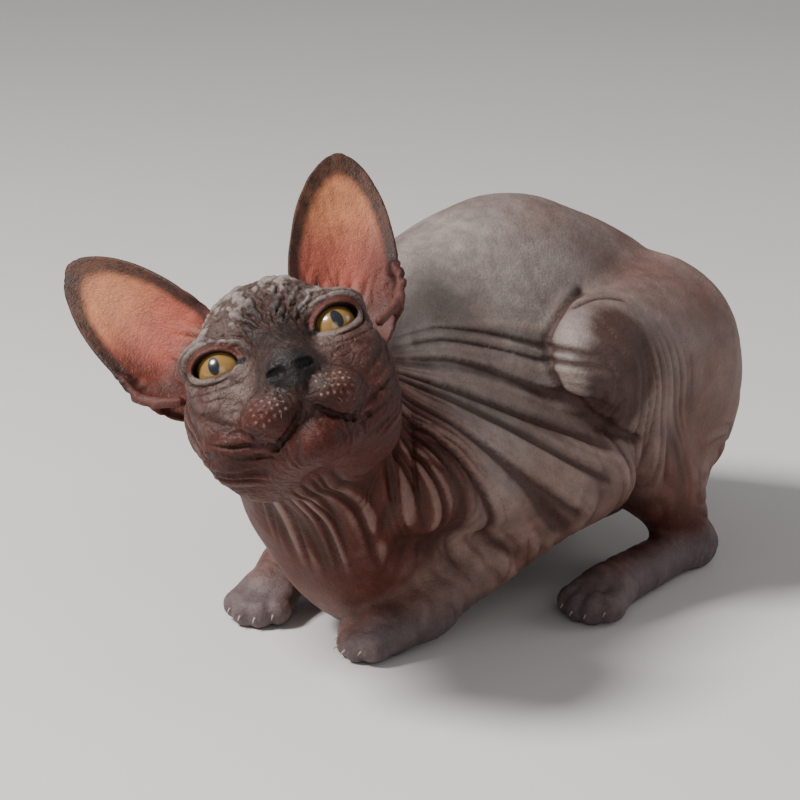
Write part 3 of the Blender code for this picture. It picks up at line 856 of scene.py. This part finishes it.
def ear_relief(points, side):
    """Long low ridges inside the cup, and soft folds round its root and its pocket."""
    a, b, c = ear_places(points, side)
    inside = ease_in((EAR_TALL + 0.003 - c) / 0.006) * ease_in((c + 0.004) / 0.01)
    near_sheet = bell(ear(side)(points), 0.003) * inside
    spread = np.column_stack((a, b * 0, c))
    height = 0.00014 * near_sheet * creases(spread, (0, 0, 1), (1, 0, 0), 0.0075, 0.055, 71 + side, 0.3)
    root = near_sheet * ease_in((0.022 - c) / 0.012)
    height += 0.0007 * root * creases(spread, (0.25, 0, 1), (1, 0, 0), 0.0065, 0.03, 73 + side, 0.25)
    crumpled = bell(ear_notch(side)(points), 0.004)
    return height + 0.0008 * crumpled * valleys(points / 0.0065, 75 + side, 0.3)


def relief(points):
    local = to_head(points)
    on_head = ease_in((0.004 - HEAD(local)) / 0.004)
    for side in (1, -1):
        on_head = np.maximum(on_head, ease_in((0.004 - ear(side)(local)) / 0.003))
    height = body_relief(points) * (1 - on_head)
    chosen = on_head > 0
    height[chosen] += on_head[chosen] * face_relief(local[chosen])
    clear = ease_in(points[:, 2] / 0.0025)
    return height * clear


def widen(out, name, values):
    """A mask, raised to other values where they are higher."""
    out[name] = np.maximum(out[name], values)


def head_masks(local, on_head):
    """The masks of the head, from places in its own frame."""
    l, _, u = local.T
    out = {}
    out["nose"] = patch(local, (0, 0.0265, -0.0195), (0.0098, 0.0055, 0.0062), 0.25)
    dark = patch(local, (0.001, 0.006, 0.004), (0.0105, 0.026, 0.0125), 0.7)
    dark = np.maximum(dark, 0.8 * patch(local, (0, 0.02, -0.016), (0.0125, 0.012, 0.01), 0.7))
    out["mask"] = np.maximum(dark, 0.7 * patch(local, (0, 0.022, -0.031), (0.0085, 0.01, 0.007), 0.8))
    # Pale grey over the brow and round the eyes: partly the skin's own fine fuzz, partly painted light from
    # above
    out["brow"] = patch(local, (0, -0.014, 0.026), (0.034, 0.03, 0.018), 0.7)
    for name in ("ear", "tip", "rim", "ear_cup_shade", "lid", "edge", "dark", "dot", "lip", "flush_and_bounce"):
        out[name] = np.zeros(len(local))
    for side in (1, -1):
        a, b, c = ear_places(local, side)
        on_ear = ease_in((0.0025 - ear(side)(local)) / 0.0015) * ease_in((c - 0.002) / 0.014)
        part = np.abs(a) / EAR_HALF
        reach = part**1.7 + np.clip(c / EAR_TALL, 0, None) ** 2.6
        curl = 18.0 - 8.0 * np.clip(c / EAR_TALL, 0, 1)
        front = ease_in((b - (curl * a * a - 0.008)) / 0.0008 * 0.5 + 0.5)
        widen(out, "ear", on_ear * front)
        widen(out, "tip", on_ear * ease_in((c - 0.022) / 0.028))
        widen(out, "rim", on_ear * ease_in((reach - 0.56) / 0.2))
        # Painted shade deep in the ear's cup, low on its outer side and in the pocket of its notch
        pocket = ease_in((0.003 - ear_notch(side)(local)) / 0.002)
        widen(out, "ear_cup_shade", pocket)
        outer = ease_in((a - 0.002) / 0.012) * ease_in((0.046 - c) / 0.028)
        deep = np.maximum(ease_in((0.018 - c) / 0.016), outer)
        widen(out, "ear_cup_shade", ease_in((0.005 - ear(side)(local)) / 0.003) * front * deep)
        ring, a, b, c = lid_ring(local, side)
        facing = ease_in((b + 0.004) / 0.006)
        # The upper lid: its own redder skin, darkened as painted shade under the brow
        upper = ease_in((1.04 - ring) / 0.14) * ease_in((c + 0.001) / 0.0025)
        widen(out, "lid", facing * upper)
        lower = facing * ease_in((0.98 - ring) / 0.1) * ease_in((-0.0005 - c) / 0.002)
        widen(out, "brow", 0.4 * lower)
        widen(out, "edge", facing * ease_in((0.0005 - opening(side)(local)) / 0.0006))
        # Painted shade: black in the inner corner of each eye and inside each nostril
        corner = np.hypot((a + 0.01) / 0.0032, (c + 0.0012) / 0.0014)
        widen(out, "dark", facing * ease_in((1.3 - corner) / 0.7))
        widen(out, "dark", ease_in((0.0009 - nostril(side)(local)) / 0.001))
        sunk = ease_in((-0.0004 - HEAD(local)) / 0.0009)
        widen(out, "lip", sunk * ease_in((0.001 - mouth(side)(local)) / 0.0006))
        widen(out, "dot", near_whiskers(local, side))
        # Paler beside each eye, more on the cat's right, which faces the light: painted light over the
        # skin's own fuzz
        beside = patch(local, (side * 0.026, 0.002, -0.012), (0.014, 0.016, 0.009), 0.7)
        widen(out, "brow", (0.2 if side < 0 else 0.1) * beside)
    # Redder on the cheeks and chin: partly the skin's own flush, partly painted warm light bounced up from
    # below
    cheeks = ease_in((np.abs(l + 0.004) - 0.012) / 0.02) * ease_in((0.002 - u) / 0.016)
    chin = ease_in((-0.022 - 0.15 * l - u) / 0.012)
    out["flush_and_bounce"] = on_head * np.maximum(0.8 * cheeks, chin)
    return out


def masks(points, folds):
    """Where each colour of the skin lies, from 0 to 1."""
    local = to_head(points)
    on_head = ease_in((0.01 - HEAD(local)) / 0.006)
    out = head_masks(local, on_head)
    # Painted shade: darker in the valleys of the folds
    out["fold"] = ease_in(-folds / (0.0013 - 0.0007 * on_head))
    # Painted highlight: paler on the tops of the folds
    out["ridge"] = ease_in(folds / (0.0006 - 0.0003 * on_head))
    # Warmer low on the body, on the rump and at the throat: partly the skin's own red-brown, partly painted
    # warm light bounced up from below
    low = ease_in((0.118 - points[:, 2]) / 0.085)
    rump = 0.65 * ease_in((points[:, 0] - 0.005) / 0.1)
    throat = patch(points, (-0.115, -0.03, 0.075), (0.05, 0.045, 0.048), 0.7)
    folded = np.column_stack((points[:, 0], np.abs(points[:, 1]), points[:, 2]))
    inside = patch(folded, (0.03, 0.08, 0.095), (0.02, 0.03, 0.04), 0.6)
    out["warm_tone_and_bounce"] = np.clip(1 - (1 - 0.75 * low) * (1 - rump) * (1 - throat), 0, 1)
    # Painted shade, warmed by painted bounce light: under the head at the throat, in the hollow before each
    # knee, and low at the rear by the floor
    behind = ease_in((0.05 - points[:, 2]) / 0.03) * ease_in((points[:, 0] - 0.02) / 0.03)
    out["deep"] = np.maximum.reduce((0.85 * throat, 0.3 * inside, behind))
    out["head"] = on_head
    paw = ease_in((0.026 - points[:, 2]) / 0.014)
    out["paw"] = paw * (1 - patch(points, (0.03, 0, 0.02), (0.12, 0.035, 0.03), 0.3))
    return out


# Where the skin is split more finely, first the head and then the face: the reach from the head's
# middle, and how far back and how low it goes
FINE_ZONES = ((0.095, -0.075, -0.09), (0.062, -0.032, -0.06))


def near_head(points, quads, reach, back, low):
    """Which quads lie round the head, within a reach of it and in front of a plane."""
    local = to_head(points[quads].mean(1))
    inside = np.linalg.norm(local - (0, -0.01, 0.01), axis=1) < reach
    return inside & (local[:, 1] > back) & (local[:, 2] > low)


def make_skin():
    """The skin: twice as fine on the head, and twice again on the face."""
    points, quads = quad_mesh(flesh, LOW, HIGH, VOXEL)
    points = settle(flesh, points, VOXEL / 4)
    seams = []
    for reach, back, low in FINE_ZONES:
        known = len(points)
        points, quads, seam = split_quads(points, quads, near_head(points, quads, reach, back, low))
        points[known:] = settle(flesh, points[known:], VOXEL / 6)
        seams += seam
    points[:, 2] = np.maximum(points[:, 2], 0)
    skin = mesh_object("skin", points, quads, seams)
    folds = relief(points)
    creased = points + normals(skin.data) * folds[:, None]
    creased[:, 2] = np.maximum(creased[:, 2], 0)
    for name, values in masks(points, folds).items():
        layer = skin.data.attributes.new(name, "FLOAT", "POINT")
        layer.data.foreach_set("value", values.astype(np.float32))
    skin.data.vertices.foreach_set("co", (creased + SHIFT).astype(np.float32).ravel())
    skin.data.update()
    return skin


class Nodes:
    """Short calls for building a material's node tree."""

    def __init__(self, name):
        self.material = bpy.data.materials.new(name)
        self.material.use_nodes = True
        self.tree = self.material.node_tree
        self.shader = self.tree.nodes["Principled BSDF"]

    def node(self, kind, **values):
        made = self.tree.nodes.new(kind)
        for key, value in values.items():
            setattr(made, key, value)
        return made

    def link(self, out, into):
        self.tree.links.new(out, into)

    def feed(self, socket, value):
        if isinstance(value, bpy.types.NodeSocket):
            self.link(value, socket)
        elif isinstance(value, tuple) and len(value) == 3 and socket.type == "RGBA":
            socket.default_value = (*value, 1)
        else:
            socket.default_value = value

    def attribute(self, name):
        return self.node("ShaderNodeAttribute", attribute_name=name).outputs["Fac"]

    def place(self, output="Object"):
        return self.node("ShaderNodeTexCoord").outputs[output]

    def noise(self, scale, detail=3.0, rough=0.55, vector=None):
        made = self.node("ShaderNodeTexNoise")
        made.inputs["Scale"].default_value = scale
        made.inputs["Detail"].default_value = detail
        made.inputs["Roughness"].default_value = rough
        self.link(vector or self.place(), made.inputs["Vector"])
        return made.outputs["Fac"]

    def cells(self, scale, feature="F1", vector=None):
        made = self.node("ShaderNodeTexVoronoi", feature=feature)
        made.inputs["Scale"].default_value = scale
        self.link(vector or self.place(), made.inputs["Vector"])
        return made.outputs["Distance"]

    def maths(self, operation, first, second=0.0):
        made = self.node("ShaderNodeMath", operation=operation)
        self.feed(made.inputs[0], first)
        self.feed(made.inputs[1], second)
        return made.outputs[0]

    def times(self, first, second):
        """A product. A name stands for the mask of that name."""
        if isinstance(first, str):
            first = self.attribute(first)
        return self.maths("MULTIPLY", first, second)

    def length(self, first, second):
        return self.maths("SQRT", self.maths("ADD", self.times(first, first), self.times(second, second)))

    def shade(self, name, value):
        """Sets or links an input of the shader."""
        self.feed(self.shader.inputs[name], value)

    def span(self, value, low, high, to_low=0.0, to_high=1.0):
        made = self.node("ShaderNodeMapRange")
        self.feed(made.inputs["Value"], value)
        for key, number in zip(("From Min", "From Max", "To Min", "To Max"), (low, high, to_low, to_high)):
            made.inputs[key].default_value = number
        return made.outputs["Result"]

    def mix(self, share, first, second, blend="MIX"):
        made = self.node("ShaderNodeMix", data_type="RGBA", blend_type=blend)
        self.feed(made.inputs["Factor"], share)
        self.feed(made.inputs[6], first)
        self.feed(made.inputs[7], second)
        return made.outputs[2]

    def grey(self, value):
        made = self.node("ShaderNodeCombineColor")
        for socket in made.inputs:
            self.link(value, socket)
        return made.outputs[0]

    def bump(self, height, distance, strength=1.0, normal=None):
        made = self.node("ShaderNodeBump")
        made.inputs["Strength"].default_value = strength
        made.inputs["Distance"].default_value = distance
        self.link(height, made.inputs["Height"])
        if normal:
            self.link(normal, made.inputs["Normal"])
        return made.outputs["Normal"]


# Colours of the skin, as linear red, green and blue
BACK = (0.185, 0.142, 0.128)
BACK_PALE = (0.265, 0.226, 0.21)
# The skin's own red-brown, deepened by painted warm light bounced up from below
WARM_TONE_AND_BOUNCE = (0.125, 0.034, 0.019)
# Painted shade, warmed by painted bounce light
WARM_BOUNCE_SHADE = (0.062, 0.011, 0.006)
# Painted shade in the valleys of the folds
CREASE_SHADE = (0.04, 0.014, 0.01)
# Painted highlight on the tops of the folds
RIDGE_HIGHLIGHT = (0.34, 0.24, 0.205)
FACE = (0.06, 0.028, 0.021)
# The lower face's own flush, reddened by painted warm light bounced up from below
FLUSH_AND_BOUNCE = (0.056, 0.009, 0.005)
# The skin's own pale fuzz, also used as painted light on the brow and painted highlight on the folds
FUZZ_AND_LIGHT = (0.27, 0.23, 0.208)
MASK = (0.017, 0.012, 0.011)
NOSE = (0.016, 0.012, 0.012)
NOSE_GRAIN = (0.03, 0.022, 0.02)
FOLLICLE_PALE = (0.36, 0.25, 0.21)
LID_EDGE = (0.014, 0.007, 0.006)
# Painted shade in the inner corners of the eyes and in the nostrils
RECESS_SHADE = (0.004, 0.003, 0.003)
# The upper lid's own red, darkened as painted shade under the brow
UPPER_LID_AND_SHADE = (0.082, 0.02, 0.013)
LIP = (0.022, 0.007, 0.006)
EAR_TAN = (0.4, 0.15, 0.072)
EAR_PINK = (0.33, 0.088, 0.06)
# Painted shade in the ear's deep cup and the pocket of its notch
EAR_CUP_SHADE = (0.085, 0.018, 0.011)
EAR_RIM = (0.022, 0.012, 0.01)
PAW = (0.115, 0.095, 0.1)


def skin_colour(n, broad, middle, fine):
    """The skin's colour: coats over the back's own colour, each where its mask says."""
    down = n.times(n.span(fine, 0.46, 0.6), n.span(middle, 0.3, 0.65, 0.55, 1.0))
    less_flush_and_bounce = n.maths("SUBTRACT", 1.0, n.times("flush_and_bounce", 0.85))
    coats = (
        # Painted warm bounce light over the skin's own red-brown, low on the body, on the rump and at the
        # throat
        ("warm_tone_and_bounce", n.span(broad, 0.2, 0.7, 1.0, 0.8), WARM_TONE_AND_BOUNCE),
        # Painted shade at the throat, in the knee hollows and low at the rear
        ("deep", 0.9, WARM_BOUNCE_SHADE),
        ("paw", 0.8, PAW),
        # Redder low on the face: the skin's own flush and painted warm bounce light
        ("head", 1.0, n.mix(n.attribute("flush_and_bounce"), FACE, FLUSH_AND_BOUNCE)),
        ("head", n.times(n.times(less_flush_and_bounce, 0.26), down), FUZZ_AND_LIGHT),
        # Pale grey on the brow: the skin's own fuzz, and painted light from above
        ("brow", n.span(down, 0.0, 1.0, 0.66, 0.8), FUZZ_AND_LIGHT),
        # Painted highlight: the tops of the folds paler, on the brow and on the body
        ("brow", n.times("ridge", 0.3), FUZZ_AND_LIGHT),
        ("ridge", n.maths("SUBTRACT", 0.34, n.times("head", 0.28)), RIDGE_HIGHLIGHT),
        ("mask", n.span(middle, 0.3, 0.65, 1.0, 0.8), MASK),
        # Painted shade in the valleys of the folds
        ("fold", 0.78, CREASE_SHADE),
        # The upper lid's own red, darkened as painted shade under the brow
        ("lid", 0.85, UPPER_LID_AND_SHADE),
        ("nose", 1.0, n.mix(n.span(fine, 0.52, 0.7), NOSE, NOSE_GRAIN)),
        ("dot", n.span(middle, 0.42, 0.62, 0.2, 0.75), FOLLICLE_PALE),
        ("lip", 0.85, LIP),
        ("edge", 1.0, LID_EDGE),
        # Painted shade in the eyes' inner corners and the nostrils
        ("dark", 1.0, RECESS_SHADE),
        ("ear", 1.0, n.mix(n.attribute("tip"), EAR_PINK, EAR_TAN)),
        # Painted shade in the ear's deep cup and the pocket of its notch
        ("ear_cup_shade", 0.85, EAR_CUP_SHADE),
        ("rim", n.span(middle, 0.2, 0.6, 1.0, 0.86), EAR_RIM),
    )
    colour = n.mix(n.span(broad, 0.38, 0.62), BACK, BACK_PALE)
    for name, share, coat in coats:
        colour = n.mix(n.times(name, share), colour, coat)
    return colour


def skin_material():
    n = Nodes("sphynx_skin")
    broad = n.noise(28, 3)
    middle = n.noise(150, 4, 0.6)
    fine = n.noise(1250, 3, 0.65)
    pores = n.cells(1500)
    colour = skin_colour(n, broad, middle, fine)
    speckle = n.span(n.maths("ADD", middle, n.times(fine, 0.8)), 0.6, 1.2, 0.7, 1.3)
    colour = n.mix(1.0, colour, n.grey(speckle), "MULTIPLY")
    n.shade("Base Color", colour)
    n.shade("Roughness", n.span(middle, 0.3, 0.7, 0.42, 0.6))
    n.shade("Specular IOR Level", 0.22)
    n.shade("Subsurface Weight", 0.08)
    n.shade("Subsurface Radius", (0.003, 0.001, 0.0006))
    n.shade("Subsurface Scale", 1.0)
    grain = n.bump(pores, 0.00016, 0.6)
    grain = n.bump(fine, 0.0003, 0.8, grain)
    grain = n.bump(n.cells(420, "DISTANCE_TO_EDGE"), 0.00035, 0.55, grain)
    grain = n.bump(n.noise(330, 4, 0.6), 0.0006, 0.6, grain)
    n.shade("Normal", grain)
    return n.material


# The eyeball's rings and steps round, how far its cornea stands out, and its iris and pupil
EYE_RINGS = 48
EYE_STEPS = 72
CORNEA_RISE = 0.0009
IRIS_RADIUS = 0.0084
PUPIL_WIDE = 0.0022
PUPIL_TALL = 0.0036


def eye_material():
    """Amber iris with fine rays, a dark ring round it and a dark upright pupil."""
    n = Nodes("amber_eye")
    split = n.node("ShaderNodeSeparateXYZ")
    n.link(n.place(), split.inputs[0])
    x, z = split.outputs[0], split.outputs[2]
    reach = n.length(x, z)
    pupil = n.length(n.maths("DIVIDE", x, PUPIL_WIDE), n.maths("DIVIDE", z, PUPIL_TALL))
    angle = n.maths("ARCTAN2", x, z)
    rays = n.node("ShaderNodeCombineXYZ")
    n.link(n.times(angle, 9.0), rays.inputs[0])
    n.link(n.times(reach, 260.0), rays.inputs[1])
    fibres = n.noise(1.0, 4, 0.65, rays.outputs[0])
    out = n.span(reach, PUPIL_WIDE, IRIS_RADIUS)
    iris = n.mix(out, (0.27, 0.15, 0.035), (0.37, 0.225, 0.08))
    iris = n.mix(n.span(fibres, 0.35, 0.65), iris, n.mix(0.45, iris, (0.23, 0.11, 0.03)))
    iris = n.mix(n.span(reach, IRIS_RADIUS * 0.84, IRIS_RADIUS), iris, (0.03, 0.016, 0.01))
    white = n.mix(n.noise(500, 2), (0.05, 0.022, 0.016), (0.022, 0.01, 0.008))
    colour = n.mix(n.span(reach, IRIS_RADIUS, IRIS_RADIUS * 1.04), iris, white)
    colour = n.mix(n.span(pupil, 0.95, 1.06), (0.01, 0.014, 0.018), colour)
    n.shade("Base Color", colour)
    n.shade("Roughness", 0.28)
    n.shade("Coat Weight", 1.0)
    n.shade("Coat Roughness", 0.02)
    n.shade("Specular IOR Level", 0.4)
    return n.material


def ring_quads(rows, steps):
    """Quads between rows of points, each row a closed ring of the same number of steps."""
    here = np.arange(rows * steps).reshape(rows, steps)
    after = np.roll(here, -1, 1)
    return np.stack((here[:-1], after[:-1], after[1:], here[1:]), -1).reshape(-1, 4)


def make_eye(side, name, material):
    """An eyeball with a low cornea, in its own axes: Y forward."""
    turns = np.pi * np.arange(1, EYE_RINGS)[:, None] / EYE_RINGS
    spins = 2 * np.pi * np.arange(EYE_STEPS) / EYE_STEPS
    out = EYE_RADIUS * np.sin(turns)
    cornea = CORNEA_RISE * np.clip(1 - (out / IRIS_RADIUS) ** 2, 0, None) ** 1.5
    ahead = EYE_RADIUS * np.cos(turns) + cornea * (turns < np.pi / 2)
    ahead = np.repeat(ahead, EYE_STEPS, 1)
    points = np.stack((out * np.cos(spins), ahead, out * np.sin(spins)), -1).reshape(-1, 3)
    quads = ring_quads(EYE_RINGS - 1, EYE_STEPS)[:, ::-1]
    first = len(points)
    last = first - EYE_STEPS
    points = np.vstack((points, (0, EYE_RADIUS + CORNEA_RISE, 0), (0, -EYE_RADIUS, 0)))
    caps = []
    for step in range(EYE_STEPS):
        after = (step + 1) % EYE_STEPS
        caps += [(first, step, after), (first + 1, last + after, last + step)]
    eye = mesh_object(name, points, quads, caps)
    eye.data.materials.append(material)
    centre, axes = eye_frame(side)
    spin = Matrix((HEAD_AXES @ axes).tolist())
    if spin.determinant() < 0:
        eye.data.transform(Matrix.Diagonal((-1, 1, 1, 1)))
        eye.data.flip_normals()
        spin = Matrix((HEAD_AXES @ axes * (-1, 1, 1)).tolist())
    eye.matrix_world = Matrix.Translation(Vector(from_head(centre)) + Vector(SHIFT)) @ spin.to_4x4()
    return eye


def plain_material(name, scale, first, second, rough, detail=3.0):
    """A material of two close colours, mottled."""
    n = Nodes(name)
    n.shade("Base Color", n.mix(n.noise(scale, detail), first, second))
    n.shade("Roughness", rough)
    return n.material


# A tapering thread: how many sides it has, and how many lengths
THREAD_SIDES = 5
THREAD_STEPS = 6


def thread(start, way, bend, length, radius, taper):
    """Rings of points along a bent thread that narrows to its tip."""
    rings = []
    at = np.array(start, float)
    for step in range(THREAD_STEPS + 1):
        first = unit(np.cross(way, (0.31, 0.52, 0.79)))
        second = np.cross(way, first)
        thick = radius * (1 - taper * step / THREAD_STEPS)
        for side in range(THREAD_SIDES):
            turn = 2 * math.pi * side / THREAD_SIDES
            rings.append(at + thick * (math.cos(turn) * first + math.sin(turn) * second))
        way = unit(way + bend)
        at = at + way * length / THREAD_STEPS
    return np.array(rings)


def thread_object(name, threads, roots):
    """One mesh of many threads. Each thread's map lies in a small patch at its root's place."""
    each = (THREAD_STEPS + 1) * THREAD_SIDES
    base = each * np.arange(len(threads))[:, None, None]
    quads = (base + ring_quads(THREAD_STEPS + 1, THREAD_SIDES)).reshape(-1, 4)
    root = np.arange(THREAD_SIDES)[::-1]
    tip = each - THREAD_SIDES + np.arange(THREAD_SIDES)
    ends = (base + np.stack((root, tip))).reshape(-1, THREAD_SIDES)
    made = mesh_object(name, np.vstack(threads), quads, ends)
    layer = made.data.uv_layers.new(name="OFBake")
    for loop in made.data.loops:
        number, place = divmod(loop.vertex_index, each)
        step, side = divmod(place, THREAD_SIDES)
        u, v = unwrapped(roots[number])
        u += BAKE_PATCH * side / THREAD_SIDES
        layer.data[loop.index].uv = (u, v + BAKE_PATCH * step / THREAD_STEPS)
    return made


# The patch of the map that a thread takes, as a share of the whole
BAKE_PATCH = 0.003


def unwrapped(place):
    """A place on the skin, unrolled round the cat's long axis."""
    x, y, z = place
    return 0.02 + 0.95 * (x + 0.2) / 0.4, 0.02 + 0.95 * (math.atan2(y, z - 0.08) / (2 * math.pi) + 0.5)


def make_whiskers(material):
    """Short, curled whisker stubs on both pads, and a few over each eye."""
    rng = np.random.default_rng(5)
    roots = []
    for side in (1, -1):
        for place in whisker_places(side):
            if rng.uniform() < 0.5:
                roots.append((place, unit((side * 0.9, 0.35, -0.15)), rng.uniform(0.0012, 0.0038)))
        for step in range(4):
            place = (side * (0.016 + 0.004 * step), -0.004, 0.0175)
            roots.append((place, unit((side * 0.4, 0.5, 0.8)), 0.004))
    threads = []
    starts = []
    for place, lean, length in roots:
        start = settle(face, np.array(place, float)[None, :], 0.0002, 6)[0]
        bend = HEAD_AXES @ (0.3 * unit(rng.normal(size=3)))
        starts.append(from_head(start - 0.0004 * lean))
        threads.append(thread(starts[-1], HEAD_AXES @ lean, bend, length, 0.00009, 0.7) + SHIFT)
    stubs = thread_object("whiskers", threads, starts)
    stubs.data.materials.append(material)
    return stubs


def make_claws(material):
    """The tips of the drawn-in claws, one at the front of each toe."""
    threads = []
    starts = []
    for place, side in ((FORE_LEFT, -1), (FORE_RIGHT, 1), (HIND_LEFT, -1), (HIND_RIGHT, 1)):
        for heel, tip in toe_lines(place["knuckles"], place["toes"], side):
            ahead = unit(tip - heel)
            starts.append(tip + ahead * (TOE_RADIUS - 0.0012) + (0, 0, 0.001))
            way = unit(ahead + (0, 0, 0.5))
            claw = thread(starts[-1], way, np.array((0, 0, -0.22)), 0.0036, 0.0008, 0.85)
            threads.append(claw + SHIFT)
    claws = thread_object("claws", threads, starts)
    claws.data.materials.append(material)
    return claws


# The camera looks at the head from the cat's left front
CAMERA_TURN = 50.0
CAMERA_RISE = 16.0
CAMERA_AWAY = 1.15
LENS = 137.0
AIM_RIGHT = 0.0468
AIM_DOWN = 0.0211


def make_camera():
    turn, rise = math.radians(CAMERA_TURN), math.radians(CAMERA_RISE)
    back = Vector((-math.sin(turn) * math.cos(rise), -math.cos(turn) * math.cos(rise), math.sin(rise)))
    right = Vector((math.cos(turn), -math.sin(turn), 0))
    up = back.cross(right)
    aim = EYES_MIDDLE + Vector(SHIFT) + right * AIM_RIGHT - up * AIM_DOWN
    data = bpy.data.cameras.new("camera")
    data.lens = LENS
    data.sensor_width = 36.0
    data.clip_start = 0.05
    camera = bpy.data.objects.new("camera", data)
    bpy.context.scene.collection.objects.link(camera)
    axes = Matrix((right, up, back)).transposed().to_4x4()
    camera.matrix_world = Matrix.Translation(aim + back * CAMERA_AWAY) @ axes
    bpy.context.scene.camera = camera


def area_light(name, place, aim, size, power, colour):
    data = bpy.data.lights.new(name, "AREA")
    data.shape = "DISK"
    data.size = size
    data.energy = power
    data.color = colour
    lamp = bpy.data.objects.new(name, data)
    bpy.context.scene.collection.objects.link(lamp)
    lamp.location = place
    lamp.rotation_euler = (Vector(place) - Vector(aim)).to_track_quat("Z", "Y").to_euler()


def make_studio():
    """A flat pale floor, soft light from the upper left, and a weak fill."""
    bpy.ops.mesh.primitive_plane_add(size=12, location=(0, 0, -0.0002))
    floor = bpy.context.object
    floor.name = "floor"
    pale = plain_material("studio_floor", 3, (0.7, 0.68, 0.66), (0.74, 0.72, 0.7), 0.85, 2)
    floor.data.materials.append(pale)
    area_light("key", (-1.1, 0.5, 1.5), (0, 0, 0.08), 0.55, 56, (1.0, 0.98, 0.96))
    area_light("front", (-1.2, -1.3, 0.9), (0, 0, 0.08), 1.0, 4, (1.0, 0.97, 0.95))
    area_light("right", (1.4, -1.0, 0.8), (0, 0, 0.08), 1.2, 6, (1.0, 0.95, 0.92))
    world = bpy.data.worlds.new("studio")
    bpy.context.scene.world = world
    world.use_nodes = True
    world.node_tree.nodes["Background"].inputs[0].default_value = (0.8, 0.82, 0.85, 1)
    world.node_tree.nodes["Background"].inputs[1].default_value = 0.32


make_camera()
make_studio()

skin = make_skin()
skin.data.materials.append(skin_material())
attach(skin, "root")
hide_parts(*[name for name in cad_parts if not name.startswith("eye_")])

amber = eye_material()
for side, name in ((1, "left"), (-1, "right")):
    eye = make_eye(side, f"eyeball_{name}", amber)
    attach(eye, "root")
    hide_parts(f"eye_{name}")

stubs = make_whiskers(plain_material("whisker", 400, (0.24, 0.18, 0.15), (0.38, 0.3, 0.26), 0.4))
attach(stubs, "root")

claws = make_claws(plain_material("claw", 300, (0.3, 0.25, 0.2), (0.42, 0.36, 0.29), 0.3))
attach(claws, "root")
